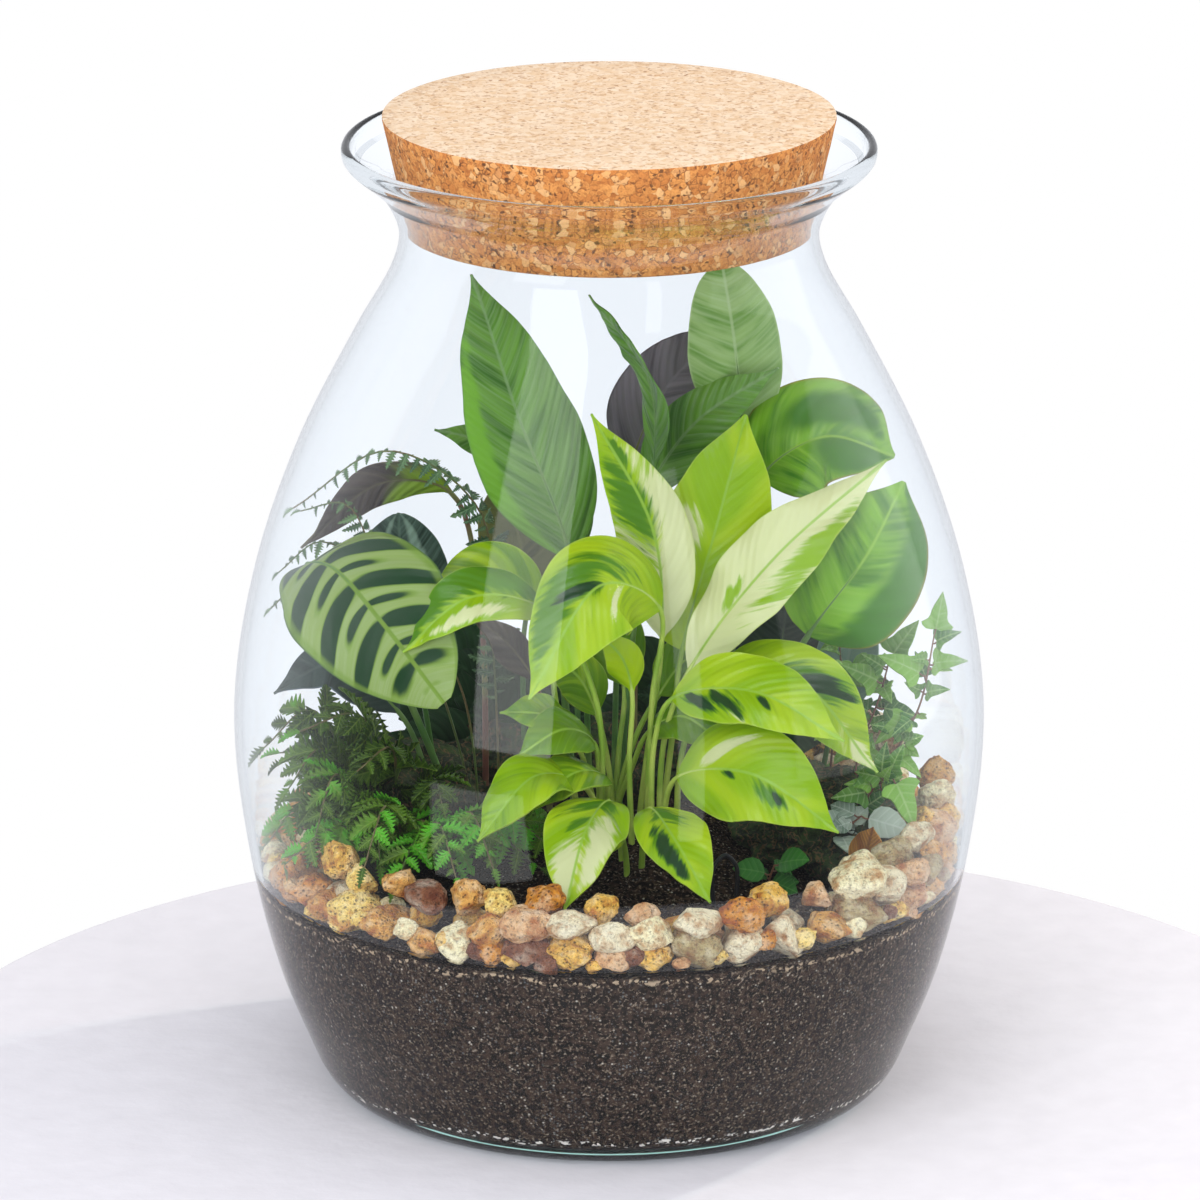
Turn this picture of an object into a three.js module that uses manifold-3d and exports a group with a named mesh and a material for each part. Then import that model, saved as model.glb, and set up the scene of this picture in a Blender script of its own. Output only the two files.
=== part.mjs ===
// Glass plant terrarium: a wide-bellied glass jar with a flared rim and a cork, planted inside.
// It holds dark soil, a ring of pebbles against the glass, and foliage whose stalks stand in
// holes in the soil. Millimetres, +Z up, origin on the table under the jar's axis. The front,
// seen first by a viewer, is towards -Y.
import * as THREE from 'three';
import { mergeVertices } from 'three/addons/utils/BufferGeometryUtils.js';
import Module from 'manifold-3d';

const wasm = await Module();
wasm.setup();

// ---------------------------------------------------------------- driving dimensions

const AROUND = 32;           // facets round the jar, the cork and the soil
const WALL = 2.8;            // thickness of the blown glass wall
const CLEAR = 0.4;           // clearance between pieces that rest on each other
const FOOT_RING = [88, 104]; // inner and outer radius of the flat ring that the jar stands on
const PUNT_RISE = 3.5;       // how far the underside rises at its middle
const FLOOR_Z = 8;           // top of the thick glass base
const CORNER = { z: 17, reach: 9 }; // inside corner: where it leaves the wall and the floor
const HEEL = [               // outside of the base, from the foot ring up to the wall
  [109.5, 1.3], [113.5, 4.2], [117, 8.6],
];
const WALL_KNOTS = [         // outer radius and height up the wall, foot to rim
  [119.5, 14], [133.5, 50], [145, 100], [149.8, 155], [141.5, 210], [124, 262],
  [101, 308], [85.5, 336], [82.5, 350], [86, 361], [93, 371],
];
const LIP = [                // the rim, turned out and then up, from its outside to its inside
  [99.2, 375.2], [103.4, 378.7], [105, 382.2], [105, 384.2], [103.6, 385.8], [102, 385.5],
  [101.6, 381.8], [99.6, 379], [95, 375.2],
];
const CORK = { bottom: 352, top: 397, seatRadius: 79.2, taper: 0.22, edge: 0.9 };
const SOIL = { edgeZ: 89, moundZ: 105, moundFrom: 22, moundTo: 104 };
const SOIL_RINGS = [104, 84, 66, 48, 34, 22]; // radii of the rings of the soil's surface

const STEM = 1.3;            // usual radius of a leaf's stalk
const STEM_SINK = 9;         // depth of each stem's hole in the soil
const STEM_ROOM = 0.32;      // clearance of a stem in its hole
const STEM_LIFT = 0.35;      // height of a stem's end over the bottom of its hole
const HOLE_SIDES = 5;        // sides of each hole
const BLADE = { rib: 1.3, edge: 0.75 };  // thickness of a leaf blade at its midrib and its rim
const BROAD_BLADE = 43;      // a blade this wide is folded along four lines, not two
const SMALL_LEAF = 0.8;      // thickness of the creeper's and the sprigs' leaves

const PEBBLE = {
  arcs: 5,                   // pieces that the ring of stones is made in
  row: 10,                   // stones against the glass in each arc
  run: 128,                  // radius at which the stones' widths are measured out
  lap: 0.79,                 // share of a stone's width that it adds to the row
  edge: 2.2,                 // gap between arcs
  seeds: [56, 85, 79, 10, 67],
};

// ---------------------------------------------------------------- solids and booleans

// Welds a geometry's shared corners, and drops triangles that have collapsed to a line.
function welded(geometry) {
  const bare = geometry.clone();
  bare.deleteAttribute('normal');
  bare.deleteAttribute('uv');
  const merged = mergeVertices(bare, 1e-4);
  const from = merged.index.array;
  const kept = [];
  for (let i = 0; i < from.length; i += 3) {
    const [a, b, c] = [from[i], from[i + 1], from[i + 2]];
    if (a !== b && b !== c && c !== a) kept.push(a, b, c);
  }
  merged.setIndex(kept);
  return merged;
}

function toSolid(geometry) {
  const mesh = welded(geometry);
  return new wasm.Manifold(new wasm.Mesh({
    numProp: 3,
    vertProperties: new Float32Array(mesh.attributes.position.array),
    triVerts: new Uint32Array(mesh.index.array),
  }));
}

function fromSolid(solid) {
  const mesh = solid.getMesh();
  const geometry = new THREE.BufferGeometry();
  geometry.setAttribute('position', new THREE.BufferAttribute(mesh.vertProperties, 3));
  geometry.setIndex(Array.from(mesh.triVerts));
  geometry.computeVertexNormals();
  return geometry;
}

function joined(geometries) {
  return geometries.map(toSolid).reduce((whole, piece) => whole.add(piece));
}

const terrarium = new THREE.Group();

function addPiece(name, geometry, look) {
  const material = new THREE.MeshStandardMaterial({ metalness: 0, roughness: 0.5, ...look });
  const mesh = new THREE.Mesh(geometry, material);
  mesh.name = name;
  terrarium.add(mesh);
}

// A seeded random draw from 0 to 1.
function dice(seed) {
  let state = seed >>> 0;
  return () => {
    state = (Math.imul(state, 1664525) + 1013904223) >>> 0;
    return state / 2 ** 32;
  };
}

const mix = THREE.MathUtils.lerp;
const smooth = (x, low, high) => THREE.MathUtils.smoothstep(x, low, high);

// ---------------------------------------------------------------- jar, cork and soil

// LatheGeometry turns about Y: the result is laid so that its axis is +Z.
function turned(profile) {
  const points = profile.map(([r, z]) => new THREE.Vector2(r, z));
  return new THREE.LatheGeometry(points, AROUND).rotateX(Math.PI / 2);
}

// Moves a profile sideways by a distance, towards the jar's axis and up from its floor.
function inset(profile, distance) {
  return profile.map(([r, z], i) => {
    const [r0, z0] = profile[Math.max(i - 1, 0)];
    const [r1, z1] = profile[Math.min(i + 1, profile.length - 1)];
    const length = Math.hypot(r1 - r0, z1 - z0);
    const radius = r === 0 ? 0 : r - distance * (z1 - z0) / length;
    return [radius, z + distance * (r1 - r0) / length];
  });
}

// The point of a straight stretch of profile, or of its extension, at a height.
function atHeight([r0, z0], [r1, z1], z) {
  return [r0 + (r1 - r0) * (z - z0) / (z1 - z0), z];
}

// The glass's inner surface from the middle of the floor up to the rim, moved in by `clear`.
function insideProfile(clear) {
  const wall = inset(WALL_KNOTS, WALL);
  const foot = atHeight(wall[0], wall[1], CORNER.z);
  const elbow = atHeight(wall[0], wall[1], FLOOR_Z);
  const corner = new THREE.QuadraticBezierCurve(
    new THREE.Vector2(elbow[0] - CORNER.reach, FLOOR_Z),
    new THREE.Vector2(...elbow),
    new THREE.Vector2(...foot),
  ).getPoints(3).map((p) => [p.x, p.y]);
  return inset([[0, FLOOR_Z], ...corner, ...wall.slice(1)], clear);
}

// Inner radius of the faceted glass at a height, less a clearance.
const INSIDE = insideProfile(0).slice(2);
function insideRadius(z, clear) {
  const above = INSIDE.findIndex((p, i) => i > 0 && p[1] >= z);
  const [[r0, z0], [r1, z1]] = [INSIDE[above - 1], INSIDE[above]];
  return mix(r0, r1, (z - z0) / (z1 - z0)) * Math.cos(Math.PI / AROUND) - clear;
}

function glassJar() {
  const foot = [
    [0, PUNT_RISE], [60, PUNT_RISE - 0.8], [FOOT_RING[0] - 3, 0.9], [FOOT_RING[0], 0],
    [FOOT_RING[1], 0],
  ];
  return turned([...foot, ...HEEL, ...WALL_KNOTS, ...LIP, ...insideProfile(0).reverse()]);
}

function corkStopper() {
  const radiusAt = (z) => CORK.seatRadius + CORK.taper * (z - CORK.bottom);
  const { bottom, top, edge } = CORK;
  return turned([
    [0, bottom], [radiusAt(bottom) - edge, bottom], [radiusAt(bottom + edge), bottom + edge],
    [radiusAt(top - edge), top - edge], [radiusAt(top) - edge, top], [0, top],
  ]);
}

// Height of the soil's surface at a distance from the axis.
function soilHeight(radius) {
  return mix(SOIL.moundZ, SOIL.edgeZ, smooth(radius, SOIL.moundFrom, SOIL.moundTo));
}

const stemHoles = [];

function soilBed() {
  const side = insideProfile(CLEAR).filter(([, z]) => z < SOIL.edgeZ);
  const rim = insideRadius(SOIL.edgeZ, CLEAR) / Math.cos(Math.PI / AROUND);
  const surface = SOIL_RINGS.map((radius) => [radius, soilHeight(radius)]);
  const bed = turned([...side, [rim, SOIL.edgeZ], ...surface, [0, SOIL.moundZ]]);
  return fromSolid(toSolid(bed).subtract(joined(stemHoles)));
}

// ---------------------------------------------------------------- leaves

const STALK_STEPS = [0.5, 1];                          // rows along a stalk
const BLADE_STEPS = [0.1, 0.25, 0.43, 0.62, 0.82, 1];  // rows along a blade
const CLUMP_STEPS = [0.3, 0.68, 1];                    // rows along a blade of a clump
const TOWARDS_VIEWER = [0, -1, 0.35];

// Where each outline of leaf is widest along its length, and how blunt its ends are.
const OUTLINES = {
  lily: { widest: 0.4, blunt: 0.95 },
  lance: { widest: 0.45, blunt: 1.1 },
  broad: { widest: 0.4, blunt: 0.66 },
  round: { widest: 0.46, blunt: 0.56 },
};

function outlineAt(kind, along) {
  const { widest, blunt } = OUTLINES[kind];
  const bend = Math.log(0.5) / Math.log(widest);
  return Math.sin(Math.PI * THREE.MathUtils.clamp(along, 0, 1) ** bend) ** blunt;
}

const vector = (xyz) => new THREE.Vector3(...xyz);

// A stem's first two points: the bottom of its hole and just above the soil. The hole is
// noted, to be cut from the soil.
function rooted([x, y], radius) {
  const top = soilHeight(Math.hypot(x, y));
  const hole = (radius + STEM_ROOM) / Math.cos(Math.PI / HOLE_SIDES);
  const bore = new THREE.CylinderGeometry(hole, hole, STEM_SINK + 20, HOLE_SIDES);
  stemHoles.push(bore.rotateX(Math.PI / 2).translate(x, y, top + 10 - STEM_SINK / 2));
  return [[x, y, top - STEM_SINK + STEM_LIFT], [x, y, top + 1.6]];
}

// Points at even fractions of the length of one stretch of a curve, with their directions.
function evenly(curve, from, to, fractions) {
  const fine = 80;
  const points = [];
  const lengths = [0];
  for (let i = 0; i <= fine; i += 1) {
    points.push(curve.getPoint(mix(from, to, i / fine)));
    if (i > 0) lengths.push(lengths[i - 1] + points[i].distanceTo(points[i - 1]));
  }
  return fractions.map((fraction) => {
    const goal = fraction * lengths[fine];
    const next = Math.max(1, lengths.findIndex((length) => length >= goal - 1e-9));
    const part = (goal - lengths[next - 1]) / (lengths[next] - lengths[next - 1]);
    return {
      at: points[next - 1].clone().lerp(points[next], part),
      ahead: points[next].clone().sub(points[next - 1]).normalize(),
    };
  });
}

// Closes a sheet of rows of columns into a thin solid. section(row, across) gives the half
// width, the lift off the middle line, the thickness and the lead along the blade. Both faces
// are split along the same diagonals.
function sheet(rows, columns, section) {
  const top = [];
  const bottom = [];
  rows.forEach((row, i) => {
    const side = row.ahead.clone().cross(row.face).normalize();
    const up = side.clone().cross(row.ahead).normalize();
    for (const across of columns) {
      const { half, lift, thick, lead } = section(i, across);
      const middle = row.at.clone().addScaledVector(side, across * half)
        .addScaledVector(up, lift).addScaledVector(row.ahead, lead);
      top.push(middle.clone().addScaledVector(up, thick / 2));
      bottom.push(middle.addScaledVector(up, -thick / 2));
    }
  });
  const wide = columns.length;
  const under = top.length;
  const last = rows.length - 1;
  const faces = [];
  for (let i = 0; i < last; i += 1) {
    for (let j = 0; j < wide - 1; j += 1) {
      const [a, b] = [i * wide + j, i * wide + j + 1];
      const [c, d] = [b + wide, a + wide];
      faces.push(a, b, c, a, c, d);
      faces.push(under + a, under + c, under + b, under + a, under + d, under + c);
    }
    const [left, right] = [i * wide, i * wide + wide - 1];
    faces.push(right, under + right, under + right + wide);
    faces.push(right, under + right + wide, right + wide);
    faces.push(left, under + left + wide, under + left);
    faces.push(left, left + wide, under + left + wide);
  }
  for (let j = 0; j < wide - 1; j += 1) {
    const [a, b, e] = [j, j + 1, last * wide + j];
    faces.push(a, under + a, under + b, a, under + b, b);
    faces.push(e, under + e + 1, under + e, e, e + 1, under + e + 1);
  }
  const geometry = new THREE.BufferGeometry();
  const flat = [...top, ...bottom].flatMap((p) => p.toArray());
  geometry.setAttribute('position', new THREE.BufferAttribute(new Float32Array(flat), 3));
  geometry.setIndex(faces);
  geometry.computeVertexNormals();
  return geometry;
}

// A leaf on its stalk, along knots that run up the stalk, through the base of the blade and on
// to its tip; the blade is the last `blade` stretches. `face` says which way the upper side
// looks at the base and at the tip, `fold` raises the sides, `cup` curls them and `wave`
// ripples them.
function leafAlong(knots, { wide, kind = 'lily', face = [TOWARDS_VIEWER], stem = STEM, blade = 2,
  fold = 0.16, cup = 0, wave = 0, steps = BLADE_STEPS }) {
  const curve = new THREE.CatmullRomCurve3(knots, false, 'centripetal');
  const spans = knots.length - 1;
  const base = (spans - blade) / spans;
  const straight = { ahead: new THREE.Vector3(0, 0, 1) };
  const rows = [
    { at: knots[0], along: -1, ...straight },
    { at: knots[1], along: -1, ...straight },
    ...evenly(curve, 1 / spans, base, STALK_STEPS).map((row) => ({ ...row, along: 0 })),
    ...evenly(curve, base, 1, steps).map((row, i) => ({ ...row, along: steps[i] })),
  ];
  const [faceBase, faceTip] = [vector(face[0]), vector(face[face.length - 1])];
  for (const row of rows) row.face = faceBase.clone().lerp(faceTip, Math.max(row.along, 0));
  const columns = wide >= BROAD_BLADE ? [-1, -0.5, 0, 0.5, 1] : [-1, 0, 1];
  return sheet(rows, columns, (i, across) => {
    const along = Math.max(rows[i].along, 0);
    const flat = smooth(along, 0, 0.2);
    const out = Math.abs(across);
    const stalk = stem * mix(1, 0.7, along);
    const half = Math.max(stalk * 0.87, outlineAt(kind, along * 0.985) * wide / 2);
    const ripple = wave * Math.sin(along * 11 + (across > 0 ? 0 : 2)) * out * out;
    return {
      half,
      lift: flat * (fold * out * half + cup * out * out * half + ripple * outlineAt(kind, along)),
      thick: mix(stalk * (2 - out), mix(BLADE.rib, BLADE.edge, out), flat),
      lead: 0,
    };
  });
}

function leaf(form) {
  const knots = [...rooted(form.root, form.stem ?? STEM), ...form.way];
  return leafAlong(knots.map(vector), form);
}

// A low clump: blades that arch from one crown to the tips given, each as [x, y, z, width].
function clump({ root, tips, crown = 3.2 }) {
  const [bottom, mouth] = rooted(root, crown);
  const solids = [tube([bottom, [mouth[0], mouth[1], mouth[2] + 2]], crown, 1, 6)];
  for (const [x, y, z, wide] of tips) {
    const rise = z - mouth[2];
    const out = (part, up) => [mix(root[0], x, part), mix(root[1], y, part), mouth[2] + rise * up];
    const way = [out(0.22, 0.45), out(0.6, 0.94), out(1, 1)];
    solids.push(leafAlong([bottom, mouth, ...way].map(vector), { wide, steps: CLUMP_STEPS }));
  }
  return fromSolid(joined(solids));
}

// A fern frond: one arched blade whose outline is cut to the rib between its leaflets.
function frond({ root, way, reach, pairs, face = [[0, -0.3, 1]], stem = 0.9, bare = 1,
  droop = -0.5, sweep = 0.5, seed = 1 }) {
  const knots = [...rooted(root, stem), ...way].map(vector);
  const curve = new THREE.CatmullRomCurve3(knots, false, 'centripetal');
  const spans = knots.length - 1;
  const draw = dice(seed);
  const leafy = [];
  for (let i = 0; i < pairs; i += 1) {
    const size = Math.sin(Math.PI * mix(0.2, 0.93, i / (pairs - 1))) ** 0.7 * mix(0.8, 1, draw());
    leafy.push({ along: i / pairs, size: 0 });
    leafy.push({ along: (i + 0.5) / pairs, size });
  }
  leafy.push({ along: 1, size: 0 });
  const fractions = leafy.map((row) => row.along);
  const start = (1 + bare) / spans;
  const straight = { ahead: new THREE.Vector3(0, 0, 1), size: 0, along: 0 };
  const rows = [
    { at: knots[0], ...straight },
    { at: knots[1], ...straight },
    ...evenly(curve, 1 / spans, start, [0.3, 0.65]).map((row) => ({ ...row, size: 0, along: 0 })),
    ...evenly(curve, start, 1, fractions).map((row, i) => ({ ...row, ...leafy[i] })),
  ];
  const [faceBase, faceTip] = [vector(face[0]), vector(face[face.length - 1])];
  for (const row of rows) row.face = faceBase.clone().lerp(faceTip, row.along);
  return sheet(rows, [-1, 0, 1], (i, across) => {
    const out = Math.abs(across);
    const stalk = stem * mix(1, 0.6, rows[i].along);
    const half = Math.max(stalk * 0.87, rows[i].size * reach);
    const leafPart = rows[i].size > 0 ? 1 : 0;
    return {
      half,
      lift: leafPart * droop * out * half,
      thick: mix(stalk * (2 - out), mix(stalk * 1.6, BLADE.edge, out), leafPart),
      lead: leafPart * sweep * out * half,
    };
  });
}

// ---------------------------------------------------------------- creeper, sprigs and pin

// A tube of even radius through a list of points, each section square to the curve.
function tube(points, radius, steps, sides = 4) {
  const section = new THREE.Shape();
  for (let i = 0; i < sides; i += 1) {
    const turn = 2 * Math.PI * i / sides;
    const [x, y] = [radius * Math.cos(turn), radius * Math.sin(turn)];
    if (i === 0) section.moveTo(x, y);
    else section.lineTo(x, y);
  }
  const path = new THREE.CatmullRomCurve3(points.map(vector), false, 'centripetal');
  return new THREE.ExtrudeGeometry(section, { steps, extrudePath: path, bevelEnabled: false });
}

// Half outlines of the small leaves, as [along, across] of a leaf one unit long.
const LOBED = [[0, 0.07], [0.12, 0.46], [0.6, 0.4], [1, 0]];
const OVAL = [[0, 0.08], [0.25, 0.36], [0.62, 0.42], [0.9, 0.22], [1, 0]];

// A small flat leaf that grows from `at` along `ahead` and looks towards `face`.
function leaflet(at, ahead, face, size, half = LOBED) {
  const outline = new THREE.Shape();
  half.forEach(([along, across], i) => {
    if (i === 0) outline.moveTo(across * size, along * size);
    else outline.lineTo(across * size, along * size);
  });
  half.slice(0, -1).reverse().forEach(([along, across]) => {
    outline.lineTo(-across * size, along * size);
  });
  const plate = new THREE.ExtrudeGeometry(outline, { depth: SMALL_LEAF, bevelEnabled: false });
  const y = vector(ahead).normalize();
  const x = y.clone().cross(vector(face)).normalize();
  const z = x.clone().cross(y);
  plate.translate(0, -0.4, -SMALL_LEAF / 2);
  plate.applyMatrix4(new THREE.Matrix4().makeBasis(x, y, z));
  return plate.translate(...at);
}

// A thin stem with small leaves: each leaf sits at a fraction of the stem's length.
function leafyStem({ root, way, leaves, stem = 0.75, steps = 6, outline = LOBED }) {
  const points = [...rooted(root, stem), ...way];
  const path = new THREE.CatmullRomCurve3(points.map(vector), false, 'centripetal');
  const bottom = points[0];
  const mouth = [bottom[0], bottom[1], bottom[2] + STEM_SINK * 0.9];
  const solids = [tube([bottom, mouth], stem, 1), tube([mouth, ...points.slice(1)], stem, steps)];
  for (const { along, ahead, face = [0, -0.8, 0.6], size } of leaves) {
    const at = path.getPoint(mix(1 / (points.length - 1), 1, along)).toArray();
    solids.push(leaflet(at, ahead, face, size, outline));
  }
  return fromSolid(joined(solids));
}

function wirePin() {
  const [left, right] = [[41, -66], [50, -63]];
  const top = soilHeight(Math.hypot(...left)) + 20;
  const radius = 0.9;
  const leftFoot = rooted(left, radius)[0];
  const rightFoot = rooted(right, radius)[0];
  return tube([
    leftFoot, [...left, leftFoot[2] + STEM_SINK], [left[0] + 0.2, left[1], top - 5],
    [(left[0] + right[0]) / 2, (left[1] + right[1]) / 2, top],
    [right[0] - 0.2, right[1], top - 5], [...right, rightFoot[2] + STEM_SINK], rightFoot,
  ], radius, 11, 5);
}

// ---------------------------------------------------------------- pebbles

// A rounded stone: a twenty-sided ball, squashed, its corners pushed about.
function stone(draw, halfSizes) {
  const ball = welded(new THREE.IcosahedronGeometry(1));
  const corner = ball.attributes.position;
  for (let i = 0; i < corner.count; i += 1) {
    const push = mix(0.92, 1.08, draw());
    corner.setXYZ(i, ...[corner.getX(i), corner.getY(i), corner.getZ(i)].map((c) => c * push));
  }
  return ball.scale(...halfSizes);
}

// Radial and downward shift that brings a stone against the glass and onto its bed.
function settle(geometry, azimuth, insetBy, bedZ) {
  const corner = geometry.attributes.position;
  let lowest = Infinity;
  for (let i = 0; i < corner.count; i += 1) lowest = Math.min(lowest, corner.getZ(i));
  geometry.translate(0, 0, bedZ - lowest);
  let room = Infinity;
  for (let i = 0; i < corner.count; i += 1) {
    const [x, y, z] = [corner.getX(i), corner.getY(i), corner.getZ(i)];
    const across = insideRadius(z, CLEAR);
    room = Math.min(room, Math.sqrt(across * across - x * x) - y);
  }
  return geometry.translate(0, room - insetBy, 0).rotateZ(azimuth - Math.PI / 2);
}

// How many stones deep the pile is at an azimuth in degrees (-90 is the front).
function pileLayers(azimuth) {
  if (azimuth > -60 && azimuth < 60) return 2;
  return azimuth > -112 && azimuth <= -60 ? 1.6 : 1;
}

// One arc of the ring: a row against the glass, and a second row that rides on it or, where
// the pile is low, lies in front of it.
function pebbleArc(index, seed = PEBBLE.seeds[index]) {
  const draw = dice(seed);
  const stones = [];
  const span = 2 * Math.PI / PEBBLE.arcs;
  const bedZ = SOIL.edgeZ + CLEAR;
  const start = -Math.PI / 2 + (index - 0.5) * span;
  const last = PEBBLE.row - 1;
  const widths = Array.from({ length: PEBBLE.row }, () => mix(0.75, 1.3, draw()));
  const total = widths.reduce((sum, width) => sum + width, 0);
  const ends = (1 - PEBBLE.lap) / 2 * (widths[0] + widths[last]);
  const pitch = (span * PEBBLE.run - PEBBLE.edge) / (total * PEBBLE.lap + ends);
  let reached = PEBBLE.edge / 2 + widths[0] * pitch / 2;
  widths.forEach((width, i) => {
    const azimuth = start + reached / PEBBLE.run;
    const half = width * pitch / 2;
    const tall = mix(0.65, 0.85, draw()) * half;
    stones.push(settle(stone(draw, [half, half * mix(0.85, 1.05, draw()), tall]), azimuth, 0, bedZ));
    const degrees = THREE.MathUtils.euclideanModulo(azimuth * 180 / Math.PI + 180, 360) - 180;
    const high = pileLayers(degrees) > 1;
    const size = mix(8, 10.5, draw());
    const upper = stone(draw, [size, size * mix(0.8, 0.95, draw()), size * mix(0.62, 0.8, draw())]);
    if (i > 0 && i < last && (high || i % 2 === 1)) {
      const [back, low] = high ? [mix(0.5, 2.5, draw()), bedZ + 2 * tall - 4] : [half * 1.05, bedZ];
      stones.push(settle(upper, azimuth, back, low));
    }
    if (i < last) reached += PEBBLE.lap * pitch * (width + widths[i + 1]) / 2;
  });
  return fromSolid(joined(stones));
}

// ---------------------------------------------------------------- the planting

const LIME = { color: '#8fbf26', roughness: 0.38 };
const PALE_LIME = { color: '#c9dc86', roughness: 0.38 };
const DARK_LEAF = { color: '#2f5c35', roughness: 0.35 };
const SLATE_LEAF = { color: '#4c4f57', roughness: 0.45 };
const MID_LEAF = { color: '#6fa338', roughness: 0.4 };
const STRIPED_LEAF = { color: '#7fa860', roughness: 0.4 };
const FERN_GREEN = { color: '#3f7a2b', roughness: 0.5 };

// Bright variegated leaves of the middle clump, back to front.
const LIME_LEAVES = {
  tall: { root: [12, -12], way: [[16, -15, 145], [21, -17, 188], [17, -24, 235], [-7, -32, 284]],
    wide: 30, wave: 1.5 },
  broad: { root: [21, -13], way: [[25, -10, 142], [29, -12, 181], [42, -10, 230], [54, -5, 276]],
    wide: 40, cup: 0.1 },
  cream: { root: [20, -26], way: [[22, -25, 148], [32, -28, 178], [65, -26, 223], [109, -14, 260]],
    wide: 32, face: [[-0.2, -1, 0.3], [-0.4, -0.8, 0.6]], wave: 2 },
  arch_left: { root: [15, -20], way: [[17, -25, 164], [20, -35, 205], [-4, -60, 222], [-31, -82, 183]],
    wide: 43, face: [[0.5, -0.8, 0.5], [-0.2, -0.8, 0.6]], fold: 0.1 },
  far_left: { root: [-3, -26], way: [[-5, -30, 165], [-25, -47, 208], [-54, -62, 218], [-80, -69, 198]],
    wide: 27, face: [[0.3, -0.6, 0.8], [-0.3, -0.6, 0.8]] },
  mid_left: { root: [-12, -8], way: [[-21, -18, 160], [-27, -24, 201], [-47, -26, 219], [-71, -30, 209]],
    wide: 24, face: [[0.3, -0.6, 0.8], [-0.2, -0.6, 0.8]] },
  right: { root: [17, -33], way: [[18, -37, 151], [25, -47, 172], [57, -67, 181], [91, -85, 167]],
    wide: 32, face: [[-0.3, -0.7, 0.8], [0.1, -0.7, 0.7]] },
  low_right: { root: [23, -39], way: [[22, -43, 124], [27, -52, 141], [56, -75, 150], [89, -92, 132]],
    wide: 38, face: [[-0.3, -0.7, 0.7], [0.1, -0.8, 0.6]] },
  back_right: { root: [27, -20], way: [[29, -20, 140], [40, -24, 170], [75, -40, 176], [105, -56, 144]],
    wide: 32, face: [[-0.3, -0.6, 0.8], [0.3, -0.7, 0.6]] },
  front_left: { root: [5, -40], way: [[3, -47, 120], [0, -58, 133], [-9, -88, 131], [-17, -122, 110]],
    wide: 31, face: [[0, -0.3, 1], [0, -0.8, 0.6]] },
  front_right: { root: [13, -46], way: [[14, -52, 121], [16, -61, 131], [26, -92, 128], [39, -118, 112]],
    wide: 27, face: [[0, -0.3, 1], [0.1, -0.8, 0.6]] },
  low_left: { root: [-2, -34], way: [[-5, -39, 125], [-13, -50, 139], [-30, -68, 146], [-51, -87, 126]],
    wide: 26, face: [[0.1, -0.5, 0.9], [-0.2, -0.7, 0.7]] },
  curl: { root: [7, -49], way: [[6, -53, 113], [4, -60, 120], [-2, -70, 121], [-9, -80, 116]],
    wide: 15, face: [[0, -0.3, 1], [-0.2, -0.6, 0.7]] },
  shade_a: { root: [2, -3], way: [[-1, -5, 135], [-5, -6, 152], [-14, -8, 170], [-31, -10, 177]],
    wide: 20, face: [[0.1, -0.5, 0.9], [-0.2, -0.7, 0.7]] },
  shade_b: { root: [-4, -18], way: [[-8, -20, 128], [-12, -26, 144], [-25, -36, 161], [-43, -44, 165]],
    wide: 22, face: [[0.1, -0.5, 0.9], [-0.2, -0.7, 0.7]] },
  young: { root: [9, -28], way: [[8, -30, 140], [9, -34, 171], [5, -38, 186], [-4, -42, 197]],
    wide: 15, kind: 'lance' },
};

// Dark leaves on long stalks behind the clump.
const DARK_LEAVES = {
  tall: { root: [-14, 14], way: [[-19, 8, 180], [-16, 4, 214], [-37, 0, 277], [-54, -4, 334]],
    wide: 46, stem: 1.6, face: [[0.1, -1, 0.2]] },
  edge: { root: [4, 6], way: [[12, 8, 205], [18, 9, 249], [16, 5, 287], [-8, 0, 324]],
    wide: 24, kind: 'lance', face: [[-0.9, -0.5, 0.2]] },
  right: { root: [2, 20], way: [[6, 22, 205], [14, 23, 233], [34, 20, 265], [67, 14, 290]],
    wide: 25, face: [[-0.3, -1, 0.3]] },
  slim: { root: [-8, 28], way: [[-10, 28, 172], [-12, 28, 206], [-11, 28, 235], [-16, 24, 263]],
    wide: 20, kind: 'lance', face: [[-0.8, -0.6, 0.1]] },
  left_tip: { root: [-13, 41], way: [[-15, 45, 195], [-24, 45, 225], [-44, 42, 248], [-70, 37, 258]],
    wide: 20, face: [[0.2, -0.7, 0.6]] },
};

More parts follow.
